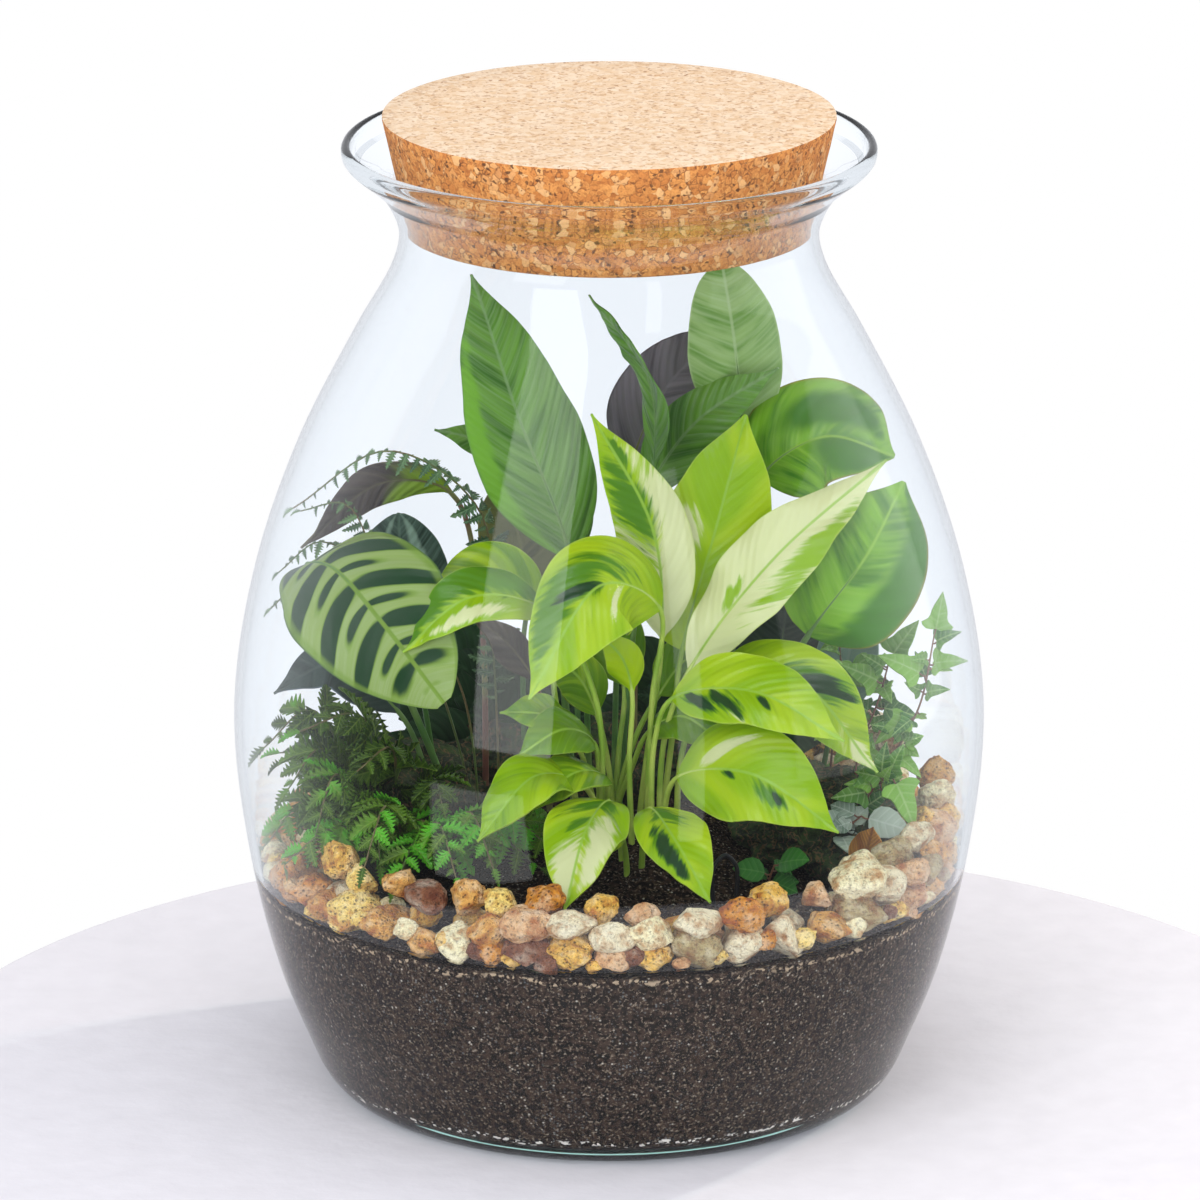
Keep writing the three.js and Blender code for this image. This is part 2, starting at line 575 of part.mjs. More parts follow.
const OTHER_LEAVES = {
  top_back_leaf: { look: MID_LEAF, root: [42, 36],
    way: [[50, 33, 215], [53, 30, 258], [50, 22, 297], [44, 12, 333]],
    wide: 33, kind: 'broad', stem: 1.5 },
  violet_back_leaf: { look: SLATE_LEAF, root: [10, 52],
    way: [[10, 58, 200], [9, 58, 235], [22, 53, 268], [43, 44, 294]], wide: 30, stem: 1.5 },
  broad_leaf_upper: { look: MID_LEAF, root: [44, 20], face: [[-0.2, -0.8, 0.5]],
    way: [[54, 14, 214], [62, 14, 250], [86, 12, 267], [107, 4, 266]],
    wide: 35, kind: 'broad', stem: 1.5 },
  broad_leaf_lower: { look: MID_LEAF, root: [52, 0], face: [[-0.1, -1, 0.2]],
    way: [[64, -6, 155], [79, -12, 187], [102, -16, 222], [116, -10, 250]],
    wide: 54, kind: 'broad', stem: 1.6 },
  broad_leaf_dark: { look: DARK_LEAF, root: [56, 40], face: [[0, -1, 0.2]],
    way: [[60, 44, 122], [66, 45, 141], [71, 47, 172], [74, 46, 203]],
    wide: 44, kind: 'broad', stem: 1.5 },
  broad_leaf_teal: { look: DARK_LEAF, root: [84, 40], face: [[-0.2, -1, 0.2]],
    way: [[88, 38, 119], [92, 36, 140], [98, 33, 170], [100, 28, 195]], wide: 26, kind: 'broad' },
  striped_leaf_front: { look: STRIPED_LEAF, root: [-62, 14], stem: 1.5, blade: 3,
    face: [[-0.1, -0.5, 0.9], [-0.2, -1, 0.2]],
    way: [[-88, 10, 168], [-115, 6, 203], [-119, -14, 217], [-107, -38, 222], [-88, -60, 207],
      [-64, -74, 179]],
    wide: 60, kind: 'round', fold: 0.04, cup: -0.12 },
  striped_leaf_back: { look: STRIPED_LEAF, root: [-68, 24], face: [[0.1, -0.8, 0.5]],
    way: [[-76, 18, 159], [-80, 16, 184], [-83, 12, 210], [-84, 7, 232]], wide: 36, kind: 'round' },
  striped_leaf_purple: { look: SLATE_LEAF, root: [-50, 26], face: [[0.3, -0.9, -0.4], [0.2, -0.9, -0.4]],
    way: [[-53, 28, 200], [-64, 24, 236], [-92, 14, 242], [-122, -2, 220]], wide: 20 },
  striped_leaf_olive: { look: STRIPED_LEAF, root: [-34, 48], face: [[0.1, -1, 0.2]],
    way: [[-35, 51, 162], [-33, 53, 185], [-37, 54, 209], [-43, 52, 232]], wide: 34, kind: 'round' },
  striped_leaf_slate: { look: SLATE_LEAF, root: [-70, 6], face: [[0, -0.7, 0.7]],
    way: [[-76, 14, 128], [-85, 16, 146], [-111, 18, 165], [-135, 14, 154]], wide: 24 },
  striped_leaf_red: { look: SLATE_LEAF, root: [-24, 12], face: [[0, -0.7, 0.7]],
    way: [[-26, 10, 144], [-30, 6, 162], [-42, 0, 181], [-55, -4, 192]], wide: 15, kind: 'lance' },
};

// Slender fronds that arch over the upper left, with short hanging leaflets.
const ARCHING_FRONDS = {
  high: { root: [-44, 4], way: [[-46, 4, 170], [-52, 0, 236], [-88, -8, 262], [-124, -14, 240]],
    reach: 9, pairs: 11, seed: 11 },
  middle: { root: [-52, -2], way: [[-60, -4, 165], [-88, -6, 205], [-104, -8, 240], [-122, -4, 236]],
    reach: 8, pairs: 7, seed: 12, bare: 2 },
  low: { root: [-54, 12], way: [[-70, 18, 160], [-98, 20, 205], [-116, 14, 218], [-132, 8, 207]],
    reach: 7, pairs: 6, seed: 13, bare: 2 },
  outer: { root: [-78, 14], way: [[-92, 22, 140], [-112, 26, 175], [-126, 22, 196], [-136, 14, 190]],
    reach: 7, pairs: 6, seed: 14, bare: 2 },
};

// Bushy fronds of the fern at the lower left.
const FERN_FRONDS = {
  left: { root: [-94, -12], way: [[-100, -12, 122], [-119, -12, 156], [-137, -18, 142]],
    reach: 18, pairs: 8, seed: 21 },
  front_left: { root: [-93, -22], way: [[-97, -28, 114], [-108, -46, 140], [-116, -62, 116]],
    reach: 16, pairs: 8, seed: 22 },
  front: { root: [-80, -32], way: [[-82, -40, 113], [-88, -68, 134], [-95, -91, 117]],
    reach: 15, pairs: 8, seed: 23 },
  right: { root: [-68, -30], way: [[-65, -37, 111], [-54, -61, 129], [-45, -84, 114]],
    reach: 14, pairs: 8, seed: 24 },
  upper: { root: [-84, -5], way: [[-88, -9, 122], [-100, -24, 158], [-122, -34, 154]],
    reach: 17, pairs: 8, seed: 25 },
};

// Dark low foliage at the back, which closes the view between the stalks.
const CLUMPS = {
  left: { root: [-44, 66], tips: [[-98, 62, 140, 36], [-78, 76, 160, 38], [-46, 80, 156, 40],
    [-18, 72, 150, 36]] },
  right: { root: [30, 72], tips: [[2, 78, 152, 36], [26, 86, 160, 38], [52, 80, 156, 38],
    [78, 66, 138, 34]] },
};

const CREEPER_STEMS = {
  tall: { root: [104, -6], way: [[112, -8, 130], [124, -10, 158], [129, -10, 186]],
    leaves: [
      { along: 1, ahead: [0.2, 0, 1], size: 15 }, { along: 0.86, ahead: [0.6, -0.5, 0.3], size: 14 },
      { along: 0.8, ahead: [-1, -0.2, 0.6], size: 18 },
      { along: 0.6, ahead: [-0.9, -0.3, -0.4], size: 16 },
      { along: 0.45, ahead: [0.7, 0.3, 0.2], size: 10 },
    ] },
  middle: { root: [98, 6], way: [[100, 6, 130], [108, 4, 155], [112, 2, 172]],
    leaves: [
      { along: 1, ahead: [0.5, -0.2, 0.9], size: 17 }, { along: 0.8, ahead: [-0.8, -0.3, 0.5], size: 16 },
      { along: 0.62, ahead: [0.9, 0.1, -0.2], size: 16 },
      { along: 0.45, ahead: [-0.7, -0.3, -0.5], size: 14 },
    ] },
  back: { root: [88, 16], way: [[90, 16, 130], [93, 14, 160], [92, 12, 184]],
    leaves: [
      { along: 1, ahead: [0.3, 0, 1], size: 13 }, { along: 0.75, ahead: [0.8, -0.2, -0.3], size: 20 },
      { along: 0.65, ahead: [-0.8, -0.2, 0.5], size: 12 }, { along: 0.5, ahead: [-0.4, -0.6, -0.3], size: 13 },
    ] },
  low: { root: [96, -18], way: [[99, -20, 112], [106, -24, 128], [112, -28, 134]],
    leaves: [
      { along: 1, ahead: [0.4, -0.5, -0.7], size: 20 }, { along: 0.6, ahead: [-0.8, -0.4, 0], size: 14 },
      { along: 0.8, ahead: [0, -0.3, 1], size: 14 },
    ] },
};

const SPRIGS = {
  round_leaved: { root: [62, -56], outline: OVAL, way: [[63, -58, 100], [65, -62, 108]], steps: 4,
    leaves: [
      { along: 1, ahead: [0.5, -0.4, 0.3], size: 14 }, { along: 0.7, ahead: [-0.9, -0.2, 0.3], size: 13 },
      { along: 0.5, ahead: [0.7, -0.7, 0], size: 12 },
    ] },
  silver: { root: [88, -27], outline: OVAL, way: [[92, -29, 109], [100, -32, 118]], steps: 4,
    leaves: [
      { along: 1, ahead: [0.8, -0.4, -0.1], size: 17 }, { along: 0.7, ahead: [-0.7, -0.4, 0.4], size: 12 },
      { along: 0.5, ahead: [0.2, -0.9, 0], size: 13 },
    ] },
};

const DEAD_LEAF = { root: [97, -46], face: [[-0.3, -1, 0.3]],
  way: [[98, -47, 97], [99, -48, 102], [102, -50, 111], [104, -51, 120]],
  wide: 15, kind: 'broad', stem: 0.9 };

for (const [name, form] of Object.entries(LIME_LEAVES)) {
  addPiece(`lime_leaf_${name}`, leaf(form), name === 'cream' ? PALE_LIME : LIME);
}
for (const [name, form] of Object.entries(DARK_LEAVES)) {
  addPiece(`dark_leaf_${name}`, leaf(form), DARK_LEAF);
}
for (const [name, form] of Object.entries(OTHER_LEAVES)) addPiece(name, leaf(form), form.look);
for (const [name, form] of Object.entries(ARCHING_FRONDS)) {
  addPiece(`arching_frond_${name}`, frond(form), FERN_GREEN);
}
for (const [name, form] of Object.entries(FERN_FRONDS)) {
  addPiece(`fern_frond_${name}`, frond(form), FERN_GREEN);
}
for (const [name, form] of Object.entries(CLUMPS)) {
  addPiece(`undergrowth_${name}`, clump(form), DARK_LEAF);
}
for (const [name, form] of Object.entries(CREEPER_STEMS)) {
  addPiece(`creeper_stem_${name}`, leafyStem(form), { color: '#5d9440' });
}
for (const [name, form] of Object.entries(SPRIGS)) {
  addPiece(`sprig_${name}`, leafyStem(form), { color: name === 'silver' ? '#a9b8a4' : '#3f6b38' });
}
addPiece('dead_leaf', leaf(DEAD_LEAF), { color: '#b8752b' });
addPiece('wire_pin', wirePin(), { color: '#1d1d1f', metalness: 0.6 });

for (let i = 0; i < PEBBLE.arcs; i += 1) {
  addPiece(`pebbles_${i + 1}`, pebbleArc(i), { color: ['#c9a273', '#d8cdb8', '#b9794a'][i % 3] });
}
addPiece('soil', soilBed(), { color: '#3b3430', roughness: 0.95 });
addPiece('cork_stopper', corkStopper(), { color: '#c99a66', roughness: 0.85 });
addPiece('glass_jar', glassJar(), { color: '#dfeaf2', roughness: 0.05 });

export default terrarium;
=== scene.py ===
"""Finish of a glass plant terrarium: the jar, its cork, the soil, the pebbles and the planting,
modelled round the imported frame. The tables of leaves and stems are in millimetres; every
mesh is in metres, standing where the frame stands."""

import math
from types import SimpleNamespace

import bpy
from mathutils import Matrix, Vector, noise


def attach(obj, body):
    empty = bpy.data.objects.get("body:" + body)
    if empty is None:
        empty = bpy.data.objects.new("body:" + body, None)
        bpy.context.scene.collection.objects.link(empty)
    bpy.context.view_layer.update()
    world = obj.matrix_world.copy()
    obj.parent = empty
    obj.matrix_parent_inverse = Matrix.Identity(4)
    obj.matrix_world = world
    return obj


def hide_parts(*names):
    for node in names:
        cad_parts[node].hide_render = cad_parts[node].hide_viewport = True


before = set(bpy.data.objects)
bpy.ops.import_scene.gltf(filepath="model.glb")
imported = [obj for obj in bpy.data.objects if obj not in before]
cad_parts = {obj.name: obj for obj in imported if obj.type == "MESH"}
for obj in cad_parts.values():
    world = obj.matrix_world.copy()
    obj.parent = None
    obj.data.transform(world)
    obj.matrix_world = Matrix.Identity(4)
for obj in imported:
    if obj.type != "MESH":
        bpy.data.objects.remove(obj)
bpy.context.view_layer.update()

bl_info = {
    "name": "Glass plant terrarium",
    "version": (1, 0, 0),
    "blender": (4, 5, 0),
    "location": "View3D > Sidebar > Terrarium",
    "description": "Models and finishes a corked glass terrarium and its planting",
    "category": "Object",
}

MM = 0.001

# ---------------------------------------------------------------- sizes, in millimetres

WALL = 2.8
CLEAR = 0.4              # room between the glass and what lies against it
NEAR_GLASS = 70          # nothing nearer to the axis than this can touch the glass
FLOOR_Z = 8
CORNER = SimpleNamespace(z=13, reach=6, steps=12)    # the round corner inside the foot
FOOT = [                 # the outside of the foot: a shallow punt, the flat ring, the heel
    (0, 3.5), (30, 3.3), (60, 2.7), (74, 2.1), (85, 0.7), (86.8, 0.2), (89, 0), (104, 0),
    (107, 0.4), (109.8, 1.4), (112, 2.8), (114, 4.8), (116, 7.3), (118, 10.8),
]
WALL_KNOTS = [
    (119.5, 14), (133.5, 50), (145, 100), (149.8, 155), (141.5, 210), (124, 262),
    (101, 308), (85.5, 336), (82.5, 350), (86, 361), (93, 371), (99.5, 376.5),
]
LIP_Z = 368              # the wall's own curve ends here, and the rim's begins
POLISHED_Z = 377         # from here up the rim is thin and fire-polished
LIP = [                  # the flared rim: out, then up, round its edge, and back down inside
    (93.6, 370.6), (96.4, 373), (99.2, 375.2), (101.6, 377), (103.4, 378.7), (104.6, 380.4),
    (105, 382.2), (105, 383.8), (104.5, 385), (103.6, 385.8), (102.6, 386), (101.9, 385.5),
    (101.6, 384.6), (101.7, 383), (101.6, 381.8), (100.9, 380.4), (99.6, 379), (97.6, 377.3),
    (95, 375.2), (92.2, 372.6), (90, 370.2),
]
CORK = SimpleNamespace(bottom=352, top=397, seat=79.2, taper=0.22, edge=0.9, wear=0.18)
SOIL = SimpleNamespace(edge=89, mound=105, mound_from=22, mound_to=104)
WALL_STEPS = 72
AROUND = 144             # steps of a turned piece
STEM_SINK = 9            # how deep a stem goes into the soil
BLADE = SimpleNamespace(thick=0.7, step=1.5)         # a blade, and the spacing of its rows

# ---------------------------------------------------------------- numbers and curves


def mix(low, high, part):
    """The value a part of the way from low to high."""
    return low + (high - low) * part


def clamp(value, low=0.0, high=1.0):
    """The value, held between two limits."""
    return max(low, min(high, value))


def smooth(value, low, high):
    """An eased step from 0 at low to 1 at high."""
    part = clamp((value - low) / (high - low))
    return part * part * (3 - 2 * part)


def every(size):
    """The scale at which a pattern repeats every so many millimetres."""
    return 1 / (size * MM)


def dice(seed):
    """A seeded random draw from 0 to 1, the same in every run."""
    state = seed

    def draw():
        nonlocal state
        state = (state * 1664525 + 1013904223) % 2**32
        return state / 2**32

    return draw


def hex_colour(text):
    """An sRGB colour such as #8fbf20 as a linear RGBA tuple."""
    parts = [int(text[i : i + 2], 16) / 255 for i in (1, 3, 5)]
    linear = [c / 12.92 if c <= 0.04045 else ((c + 0.055) / 1.055) ** 2.4 for c in parts]
    return (*linear, 1.0)


def curve_point(knots, at):
    """A point of the smooth curve through the knots, at 0 to 1 of its stretches."""
    spans = len(knots) - 1
    i = min(int(at * spans), spans - 1)
    t = at * spans - i
    p1, p2 = knots[i], knots[i + 1]
    p0 = knots[i - 1] if i else 2 * p1 - p2
    p3 = knots[i + 2] if i + 2 <= spans else 2 * p2 - p1
    d0, d1, d2 = (math.sqrt((b - a).length) for a, b in ((p0, p1), (p1, p2), (p2, p3)))
    t1 = ((p1 - p0) / d0 - (p2 - p0) / (d0 + d1) + (p2 - p1) / d1) * d1
    t2 = ((p2 - p1) / d1 - (p3 - p1) / (d1 + d2) + (p3 - p2) / d2) * d1
    return p1 + t1 * t + (3 * (p2 - p1) - 2 * t1 - t2) * t**2 + (2 * (p1 - p2) + t1 + t2) * t**3


def stretch(knots, start, stop, count, fine=160):
    """Evenly spaced points on part of a curve as (point, direction) pairs, and its length."""
    points = [curve_point(knots, mix(start, stop, i / fine)) for i in range(fine + 1)]
    run = [0.0]
    for before, after in zip(points, points[1:]):
        run.append(run[-1] + (after - before).length)
    places = []
    k = 1
    for i in range(count + 1):
        goal = run[-1] * i / count
        while k < fine and run[k] < goal:
            k += 1
        part = (goal - run[k - 1]) / (run[k] - run[k - 1])
        ahead = (points[min(k + 1, fine)] - points[max(k - 2, 0)]).normalized()
        places.append((points[k - 1].lerp(points[k], part), ahead))
    return places, run[-1]


def soil_height(radius):
    """How high the soil stands at a distance from the jar's axis."""
    return mix(SOIL.mound, SOIL.edge, smooth(radius, SOIL.mound_from, SOIL.mound_to))


def rooted(root):
    """A stem's first two points: deep in the soil, and just above it."""
    x, y = root
    top = soil_height(math.hypot(x, y))
    return [Vector((x, y, top - STEM_SINK)), Vector((x, y, top + 1.6))]


def stem_knots(form):
    """All the points that a stem and its blade run through."""
    return rooted(form["root"]) + [Vector(p) for p in form["way"]]


def wall_curve(steps=WALL_STEPS):
    """The jar's outer wall as (radius, height) pairs."""
    knots = [Vector((r, z, 0)) for r, z in WALL_KNOTS]
    return [tuple(curve_point(knots, i / steps)[:2]) for i in range(steps + 1)]


def inset(profile, distance):
    """The profile moved sideways, towards the jar's axis."""
    moved = []
    for i, (r, z) in enumerate(profile):
        r0, z0 = profile[max(i - 1, 0)]
        r1, z1 = profile[min(i + 1, len(profile) - 1)]
        length = math.hypot(r1 - r0, z1 - z0)
        radius = r - distance * (z1 - z0) / length if r else 0
        moved.append((radius, z + distance * (r1 - r0) / length))
    return moved


def inside_profile(clear):
    """The glass's inner surface from the middle of the floor to the rim, less a clearance."""
    wall = [p for p in inset(wall_curve(), WALL) if p[1] > CORNER.z]
    foot = wall[0]
    slope = (wall[1][0] - foot[0]) / (wall[1][1] - foot[1])
    elbow = (foot[0] - slope * (foot[1] - FLOOR_Z), FLOOR_Z)
    corner = []
    for i in range(CORNER.steps):
        t = i / CORNER.steps
        weights = ((1 - t) ** 2, 2 * t * (1 - t), t * t)
        points = ((elbow[0] - CORNER.reach, FLOOR_Z), elbow, foot)
        corner.append(tuple(sum(w * p[k] for w, p in zip(weights, points)) for k in (0, 1)))
    return inset([(0, FLOOR_Z), *corner, *wall], clear)


INSIDE = inside_profile(0)[2:]


def inside_radius(z, clear):
    """The glass's inner radius at a height, less a clearance."""
    above = next(i for i, p in enumerate(INSIDE) if i and p[1] >= z)
    (r0, z0), (r1, z1) = INSIDE[above - 1], INSIDE[above]
    return mix(r0, r1, (z - z0) / (z1 - z0)) - clear


# ---------------------------------------------------------------- shader nodes

MATH = "ShaderNodeMath"
MIX = "ShaderNodeMixRGB"
RANGE = "ShaderNodeMapRange"
NOISE = "ShaderNodeTexNoise"
CELLS = "ShaderNodeTexVoronoi"
BUMP = "ShaderNodeBump"
SHINE = "ShaderNodeBsdfPrincipled"
SMOOTH = {"interpolation_type": "SMOOTHSTEP"}


def node(tree, kind, inputs=(), **settings):
    """Adds a node, sets it up, and fills its inputs with values, hex colours or other nodes."""
    made = tree.nodes.new(kind)
    for name, value in settings.items():
        setattr(made, name, value)
    pairs = inputs.items() if isinstance(inputs, dict) else enumerate(inputs)
    for key, value in pairs:
        if isinstance(value, str):
            value = hex_colour(value)
        if isinstance(value, bpy.types.Node):
            value = value.outputs[0]
        if isinstance(value, bpy.types.NodeSocket):
            tree.links.new(value, made.inputs[key])
        elif value is not None:
            made.inputs[key].default_value = value
    return made


def blank_material(name):
    """A new material with an empty node tree."""
    material = bpy.data.materials.new(name)
    material.use_nodes = True
    material.node_tree.nodes.clear()
    return material, material.node_tree


def layered(tree, colour, layers):
    """Lays colours over a first one, each through its own mask."""
    for mask, over in layers:
        colour = node(tree, MIX, [mask, colour, over])
    return colour


def leaf_map(tree, spacing, lean, bow):
    """Reads where a point lies on its blade, in millimetres from the midrib and the base,
    and how far it is from the nearest side vein."""
    blade = node(tree, "ShaderNodeAttribute", attribute_name="blade")
    parts = node(tree, "ShaderNodeSeparateXYZ", [blade.outputs["Vector"]])
    marks = node(tree, "ShaderNodeAttribute", attribute_name="marks")
    own = node(tree, "ShaderNodeSeparateXYZ", [marks.outputs["Vector"]])
    growth = node(tree, "ShaderNodeAttribute", attribute_name="growth")
    seed_and_tone = node(tree, "ShaderNodeSeparateXYZ", [growth.outputs["Vector"]])
    across = node(tree, MATH, [parts.outputs["X"]], operation="ABSOLUTE")
    leaning = node(tree, MATH, [across, -lean, parts.outputs["Y"]], operation="MULTIPLY_ADD")
    square = node(tree, MATH, [across, across], operation="MULTIPLY")
    rise = node(tree, MATH, [square, -bow, leaning], operation="MULTIPLY_ADD")
    return SimpleNamespace(
        side=parts.outputs["X"], along=parts.outputs["Y"], out=parts.outputs["Z"],
        across=across, rise=rise, dark=own.outputs["X"], pale=own.outputs["Y"],
        mid=own.outputs["Z"], seed=seed_and_tone.outputs["X"], tone=seed_and_tone.outputs["Y"],
        half_way=spacing / 2,
        vein=node(tree, MATH, [rise, spacing / 2], operation="PINGPONG"),
        order=node(tree, MATH, [rise, spacing], operation="PINGPONG"),
    )


def streaks(tree, leaf, fine, drawn_out, detail=2.0):
    """Noise drawn out along the side veins; `fine` is its grain across them, in millimetres."""
    spot = node(tree, "ShaderNodeCombineXYZ", {
        "X": node(tree, MATH, [leaf.side, 1 / drawn_out], operation="MULTIPLY"),
        "Y": node(tree, MATH, [leaf.rise, 1 / fine], operation="MULTIPLY"),
        "Z": leaf.seed,
    })
    return node(tree, NOISE, {"Vector": spot, "Scale": 1.0, "Detail": detail})


def blotch(tree, mark, wobble, reach=2.4, edge=0.12):
    """A ragged patch where a mark, roughened by noise, rises over nothing."""
    rough = node(tree, MATH, [wobble, reach, mark], operation="MULTIPLY_ADD")
    return node(tree, RANGE, [rough, reach / 2 - edge, reach / 2 + edge, 0, 1], **SMOOTH)


def leaf_surface(tree, leaf, colour, gloss, relief, glow=0.25, wax=0.5):
    """A living leaf: waxy skin over pulp that lets light through. It swells softly between
    its side veins, which catch the light at their edges."""
    cells = node(tree, CELLS, {
        "Vector": node(tree, "ShaderNodeCombineXYZ", {"X": leaf.side, "Y": leaf.along}),
        "Scale": 1 / 0.6,
    })
    pillow = node(tree, RANGE, [leaf.vein, 0, leaf.half_way, 0, 1], **SMOOTH)
    low = node(tree, BUMP, {"Height": pillow, "Strength": 0.8, "Distance": relief * MM})
    skin = node(tree, BUMP, {"Height": cells, "Strength": 0.2, "Distance": 0.12 * MM,
                             "Normal": low})
    shine = node(tree, SHINE, {
        "Base Color": colour, "Roughness": gloss, "IOR": 1.43, "Specular IOR Level": wax,
        "Normal": skin,
    })
    through = node(tree, "ShaderNodeBsdfTranslucent", {"Color": colour})
    both = node(tree, "ShaderNodeMixShader", [glow, shine, through])
    node(tree, "ShaderNodeOutputMaterial", {"Surface": both})


# ---------------------------------------------------------------- leaf finishes

LILY_VEINS = (5.2, 1.25, 0.012)      # spacing, lean and bow of the side veins
BROAD_VEINS = (10.0, 0.6, 0.006)
STRIPE_VEINS = (10.2, 0.25, 0.016)
LANCE_VEINS = (4.0, 1.8, 0.01)


def lime_leaf_finish(name, settings, gloss, dull=0.0, patch=None):
    """Variegated lily foliage: waxy lime blade, brushed with mid green, dark green and cream
    along its side veins. A leaf's tone adds painted shade, deepening the leaves that lie in
    shade towards mid green, and on a few leaves a pale mark is a painted highlight."""
    material, tree = blank_material(name)
    leaf = leaf_map(tree, *LILY_VEINS)
    broad = streaks(tree, leaf, 26, 30, 1)
    brushed = streaks(tree, leaf, 6, 24, 3)
    rough = streaks(tree, leaf, 3.5, 9, 3)
    near_rib = node(tree, RANGE, [leaf.across, 0.2, 0.9, 0.9, 0], **SMOOTH)
    rim = node(tree, RANGE, [leaf.out, 0.955, 1.0, 0, 0.5])
    thread = node(tree, RANGE, [leaf.vein, 0.0, 0.7, 0.14, 0], **SMOOTH)
    sunny = node(tree, RANGE, [broad, 0.4, 0.62, 0, 0.9], **SMOOTH)
    # Painted shade: the leaf's tone, added to the brushed noise, turns leaves in shade mid green.
    brushed_and_painted_shade = node(tree, MATH, [brushed, leaf.tone], operation="ADD")
    greener = node(tree, RANGE, [brushed_and_painted_shade, 0.58, 0.9, 0, 0.8], **SMOOTH)
    halo = node(tree, MATH, [leaf.dark, 0.28], operation="ADD")
    colour = layered(tree, settings.lime, [
        (sunny, settings.yellow),
        (greener, settings.green),
        (thread, "#b3d83c"),
        (blotch(tree, leaf.pale, rough, 2.0, 0.3), settings.cream),
        (blotch(tree, leaf.mid, rough, 2.0, 0.3), patch or settings.green),
        (blotch(tree, halo, rough, 2.0, 0.25), patch or settings.green),
        (blotch(tree, leaf.dark, rough, 2.4, 0.22), settings.flecks),
        (near_rib, "#a9cf45"),
        (rim, "#c9d860"),
        (dull, "#8fae5c"),
    ])
    leaf_surface(tree, leaf, colour, gloss, 0.14, glow=0.32, wax=0.8)
    return material


def plain_leaf_finish(name, colours, veins, gloss, streak=0.3):
    """One-coloured foliage with paler side veins and silky streaks between them."""
    deep, light, vein, rim, fresh = colours
    material, tree = blank_material(name)
    leaf = leaf_map(tree, *veins)
    clouds = streaks(tree, leaf, 9, 26, 3)
    silk = streaks(tree, leaf, 1.6, 30, 2)
    near_rib = node(tree, RANGE, [leaf.across, 0.2, 1.0, 0.7, 0], **SMOOTH)
    thread = node(tree, RANGE, [leaf.vein, 0.1, 0.9, streak, 0], **SMOOTH)
    edge = node(tree, RANGE, [leaf.out, 0.95, 1.0, 0, 0.6])
    colour = layered(tree, deep, [
        (node(tree, RANGE, [clouds, 0.3, 0.6, 0, 1], **SMOOTH), light),
        (node(tree, RANGE, [silk, 0.4, 0.75, 0, 0.45]), vein),
        (thread, vein),
        (blotch(tree, leaf.pale, clouds, 1.2, 0.35), fresh),
        (blotch(tree, leaf.dark, clouds, 1.2, 0.3), deep),
        (near_rib, vein),
        (edge, rim),
    ])
    leaf_surface(tree, leaf, colour, gloss, 0.35)
    return material


def striped_leaf_finish(name, colours, gloss):
    """Patterned foliage: dark flame-shaped bands on the side veins, long and short by turns,
    that fade into the pale ground through mid green and leave the tip free."""
    ground, band, rib, margin = colours
    material, tree = blank_material(name)
    spacing = STRIPE_VEINS[0]
    leaf = leaf_map(tree, *STRIPE_VEINS)
    wobble = streaks(tree, leaf, 7, 22, 2)
    even = node(tree, RANGE, [leaf.order, spacing * 0.35, spacing * 0.65, 0, 1])
    reach = node(tree, RANGE, [even, 0, 1, 0.76, 0.42])
    middle = node(tree, RANGE, [even, 0, 1, 0.44, 0.2])
    outward = node(tree, MATH, [node(tree, MATH, [leaf.out, middle], operation="SUBTRACT"), reach],
                   operation="DIVIDE")
    wide = node(tree, RANGE, [even, 0, 1, 7.4, 3.2])
    flare = node(tree, RANGE, [leaf.out, 0, 0.8, 0.5, 1.25])
    flame = node(tree, MATH, [wide, flare], operation="MULTIPLY")
    aside = node(tree, MATH, [leaf.vein, flame], operation="DIVIDE")
    lens = node(tree, MATH, [
        node(tree, MATH, [outward, 2], operation="POWER"),
        node(tree, MATH, [aside, 2], operation="POWER"),
    ], operation="ADD")
    tip = node(tree, RANGE, [leaf.along, 80, 98, 0, 1.4])
    tapered = node(tree, MATH, [lens, tip], operation="ADD")
    ragged = node(tree, MATH, [wobble, 1.0, tapered], operation="MULTIPLY_ADD")
    bands = node(tree, RANGE, [ragged, 0.9, 1.3, 1, 0], **SMOOTH)
    fade = node(tree, RANGE, [ragged, 1.15, 1.75, 0.85, 0], **SMOOTH)
    near_rib = node(tree, RANGE, [leaf.across, 0.5, 1.2, 1, 0], **SMOOTH)
    edge = node(tree, RANGE, [leaf.out, 0.86, 0.94, 0, 0.7], **SMOOTH)
    rim = node(tree, RANGE, [leaf.out, 0.97, 0.99, 0, 0.8])
    silk = streaks(tree, leaf, 1.1, 34, 2)
    cloud = streaks(tree, leaf, 20, 20, 1)
    colour = layered(tree, ground, [
        (node(tree, RANGE, [cloud, 0.4, 0.65, 0, 0.7]), "#93aa4a"),
        (node(tree, RANGE, [silk, 0.35, 0.8, 0, 0.5]), "#aebd84"),
        (fade, rib),
        (bands, band),
        (edge, rib),
        (near_rib, rib),
        (rim, margin),
    ])
    leaf_surface(tree, leaf, colour, gloss, 0.4)
    return material


def stalk_finish(name, colour, flush):
    """Leaf stalks: smooth green skin that reddens or pales in patches."""
    material, tree = blank_material(name)
    place = node(tree, "ShaderNodeTexCoord").outputs["Object"]
    patches = node(tree, NOISE, {"Vector": place, "Scale": every(22), "Detail": 2})
    tone = node(tree, RANGE, [patches, 0.4, 0.62, 0, 1], **SMOOTH)
    fibres = node(tree, NOISE, {"Vector": place, "Scale": every(1.1), "Detail": 1})
    bump = node(tree, BUMP, {"Height": fibres, "Strength": 0.3, "Distance": 0.1 * MM})
    shine = node(tree, SHINE, {
        "Base Color": node(tree, MIX, [tone, colour, flush]), "Roughness": 0.42, "Normal": bump,
    })
    node(tree, "ShaderNodeOutputMaterial", {"Surface": shine})
    return material


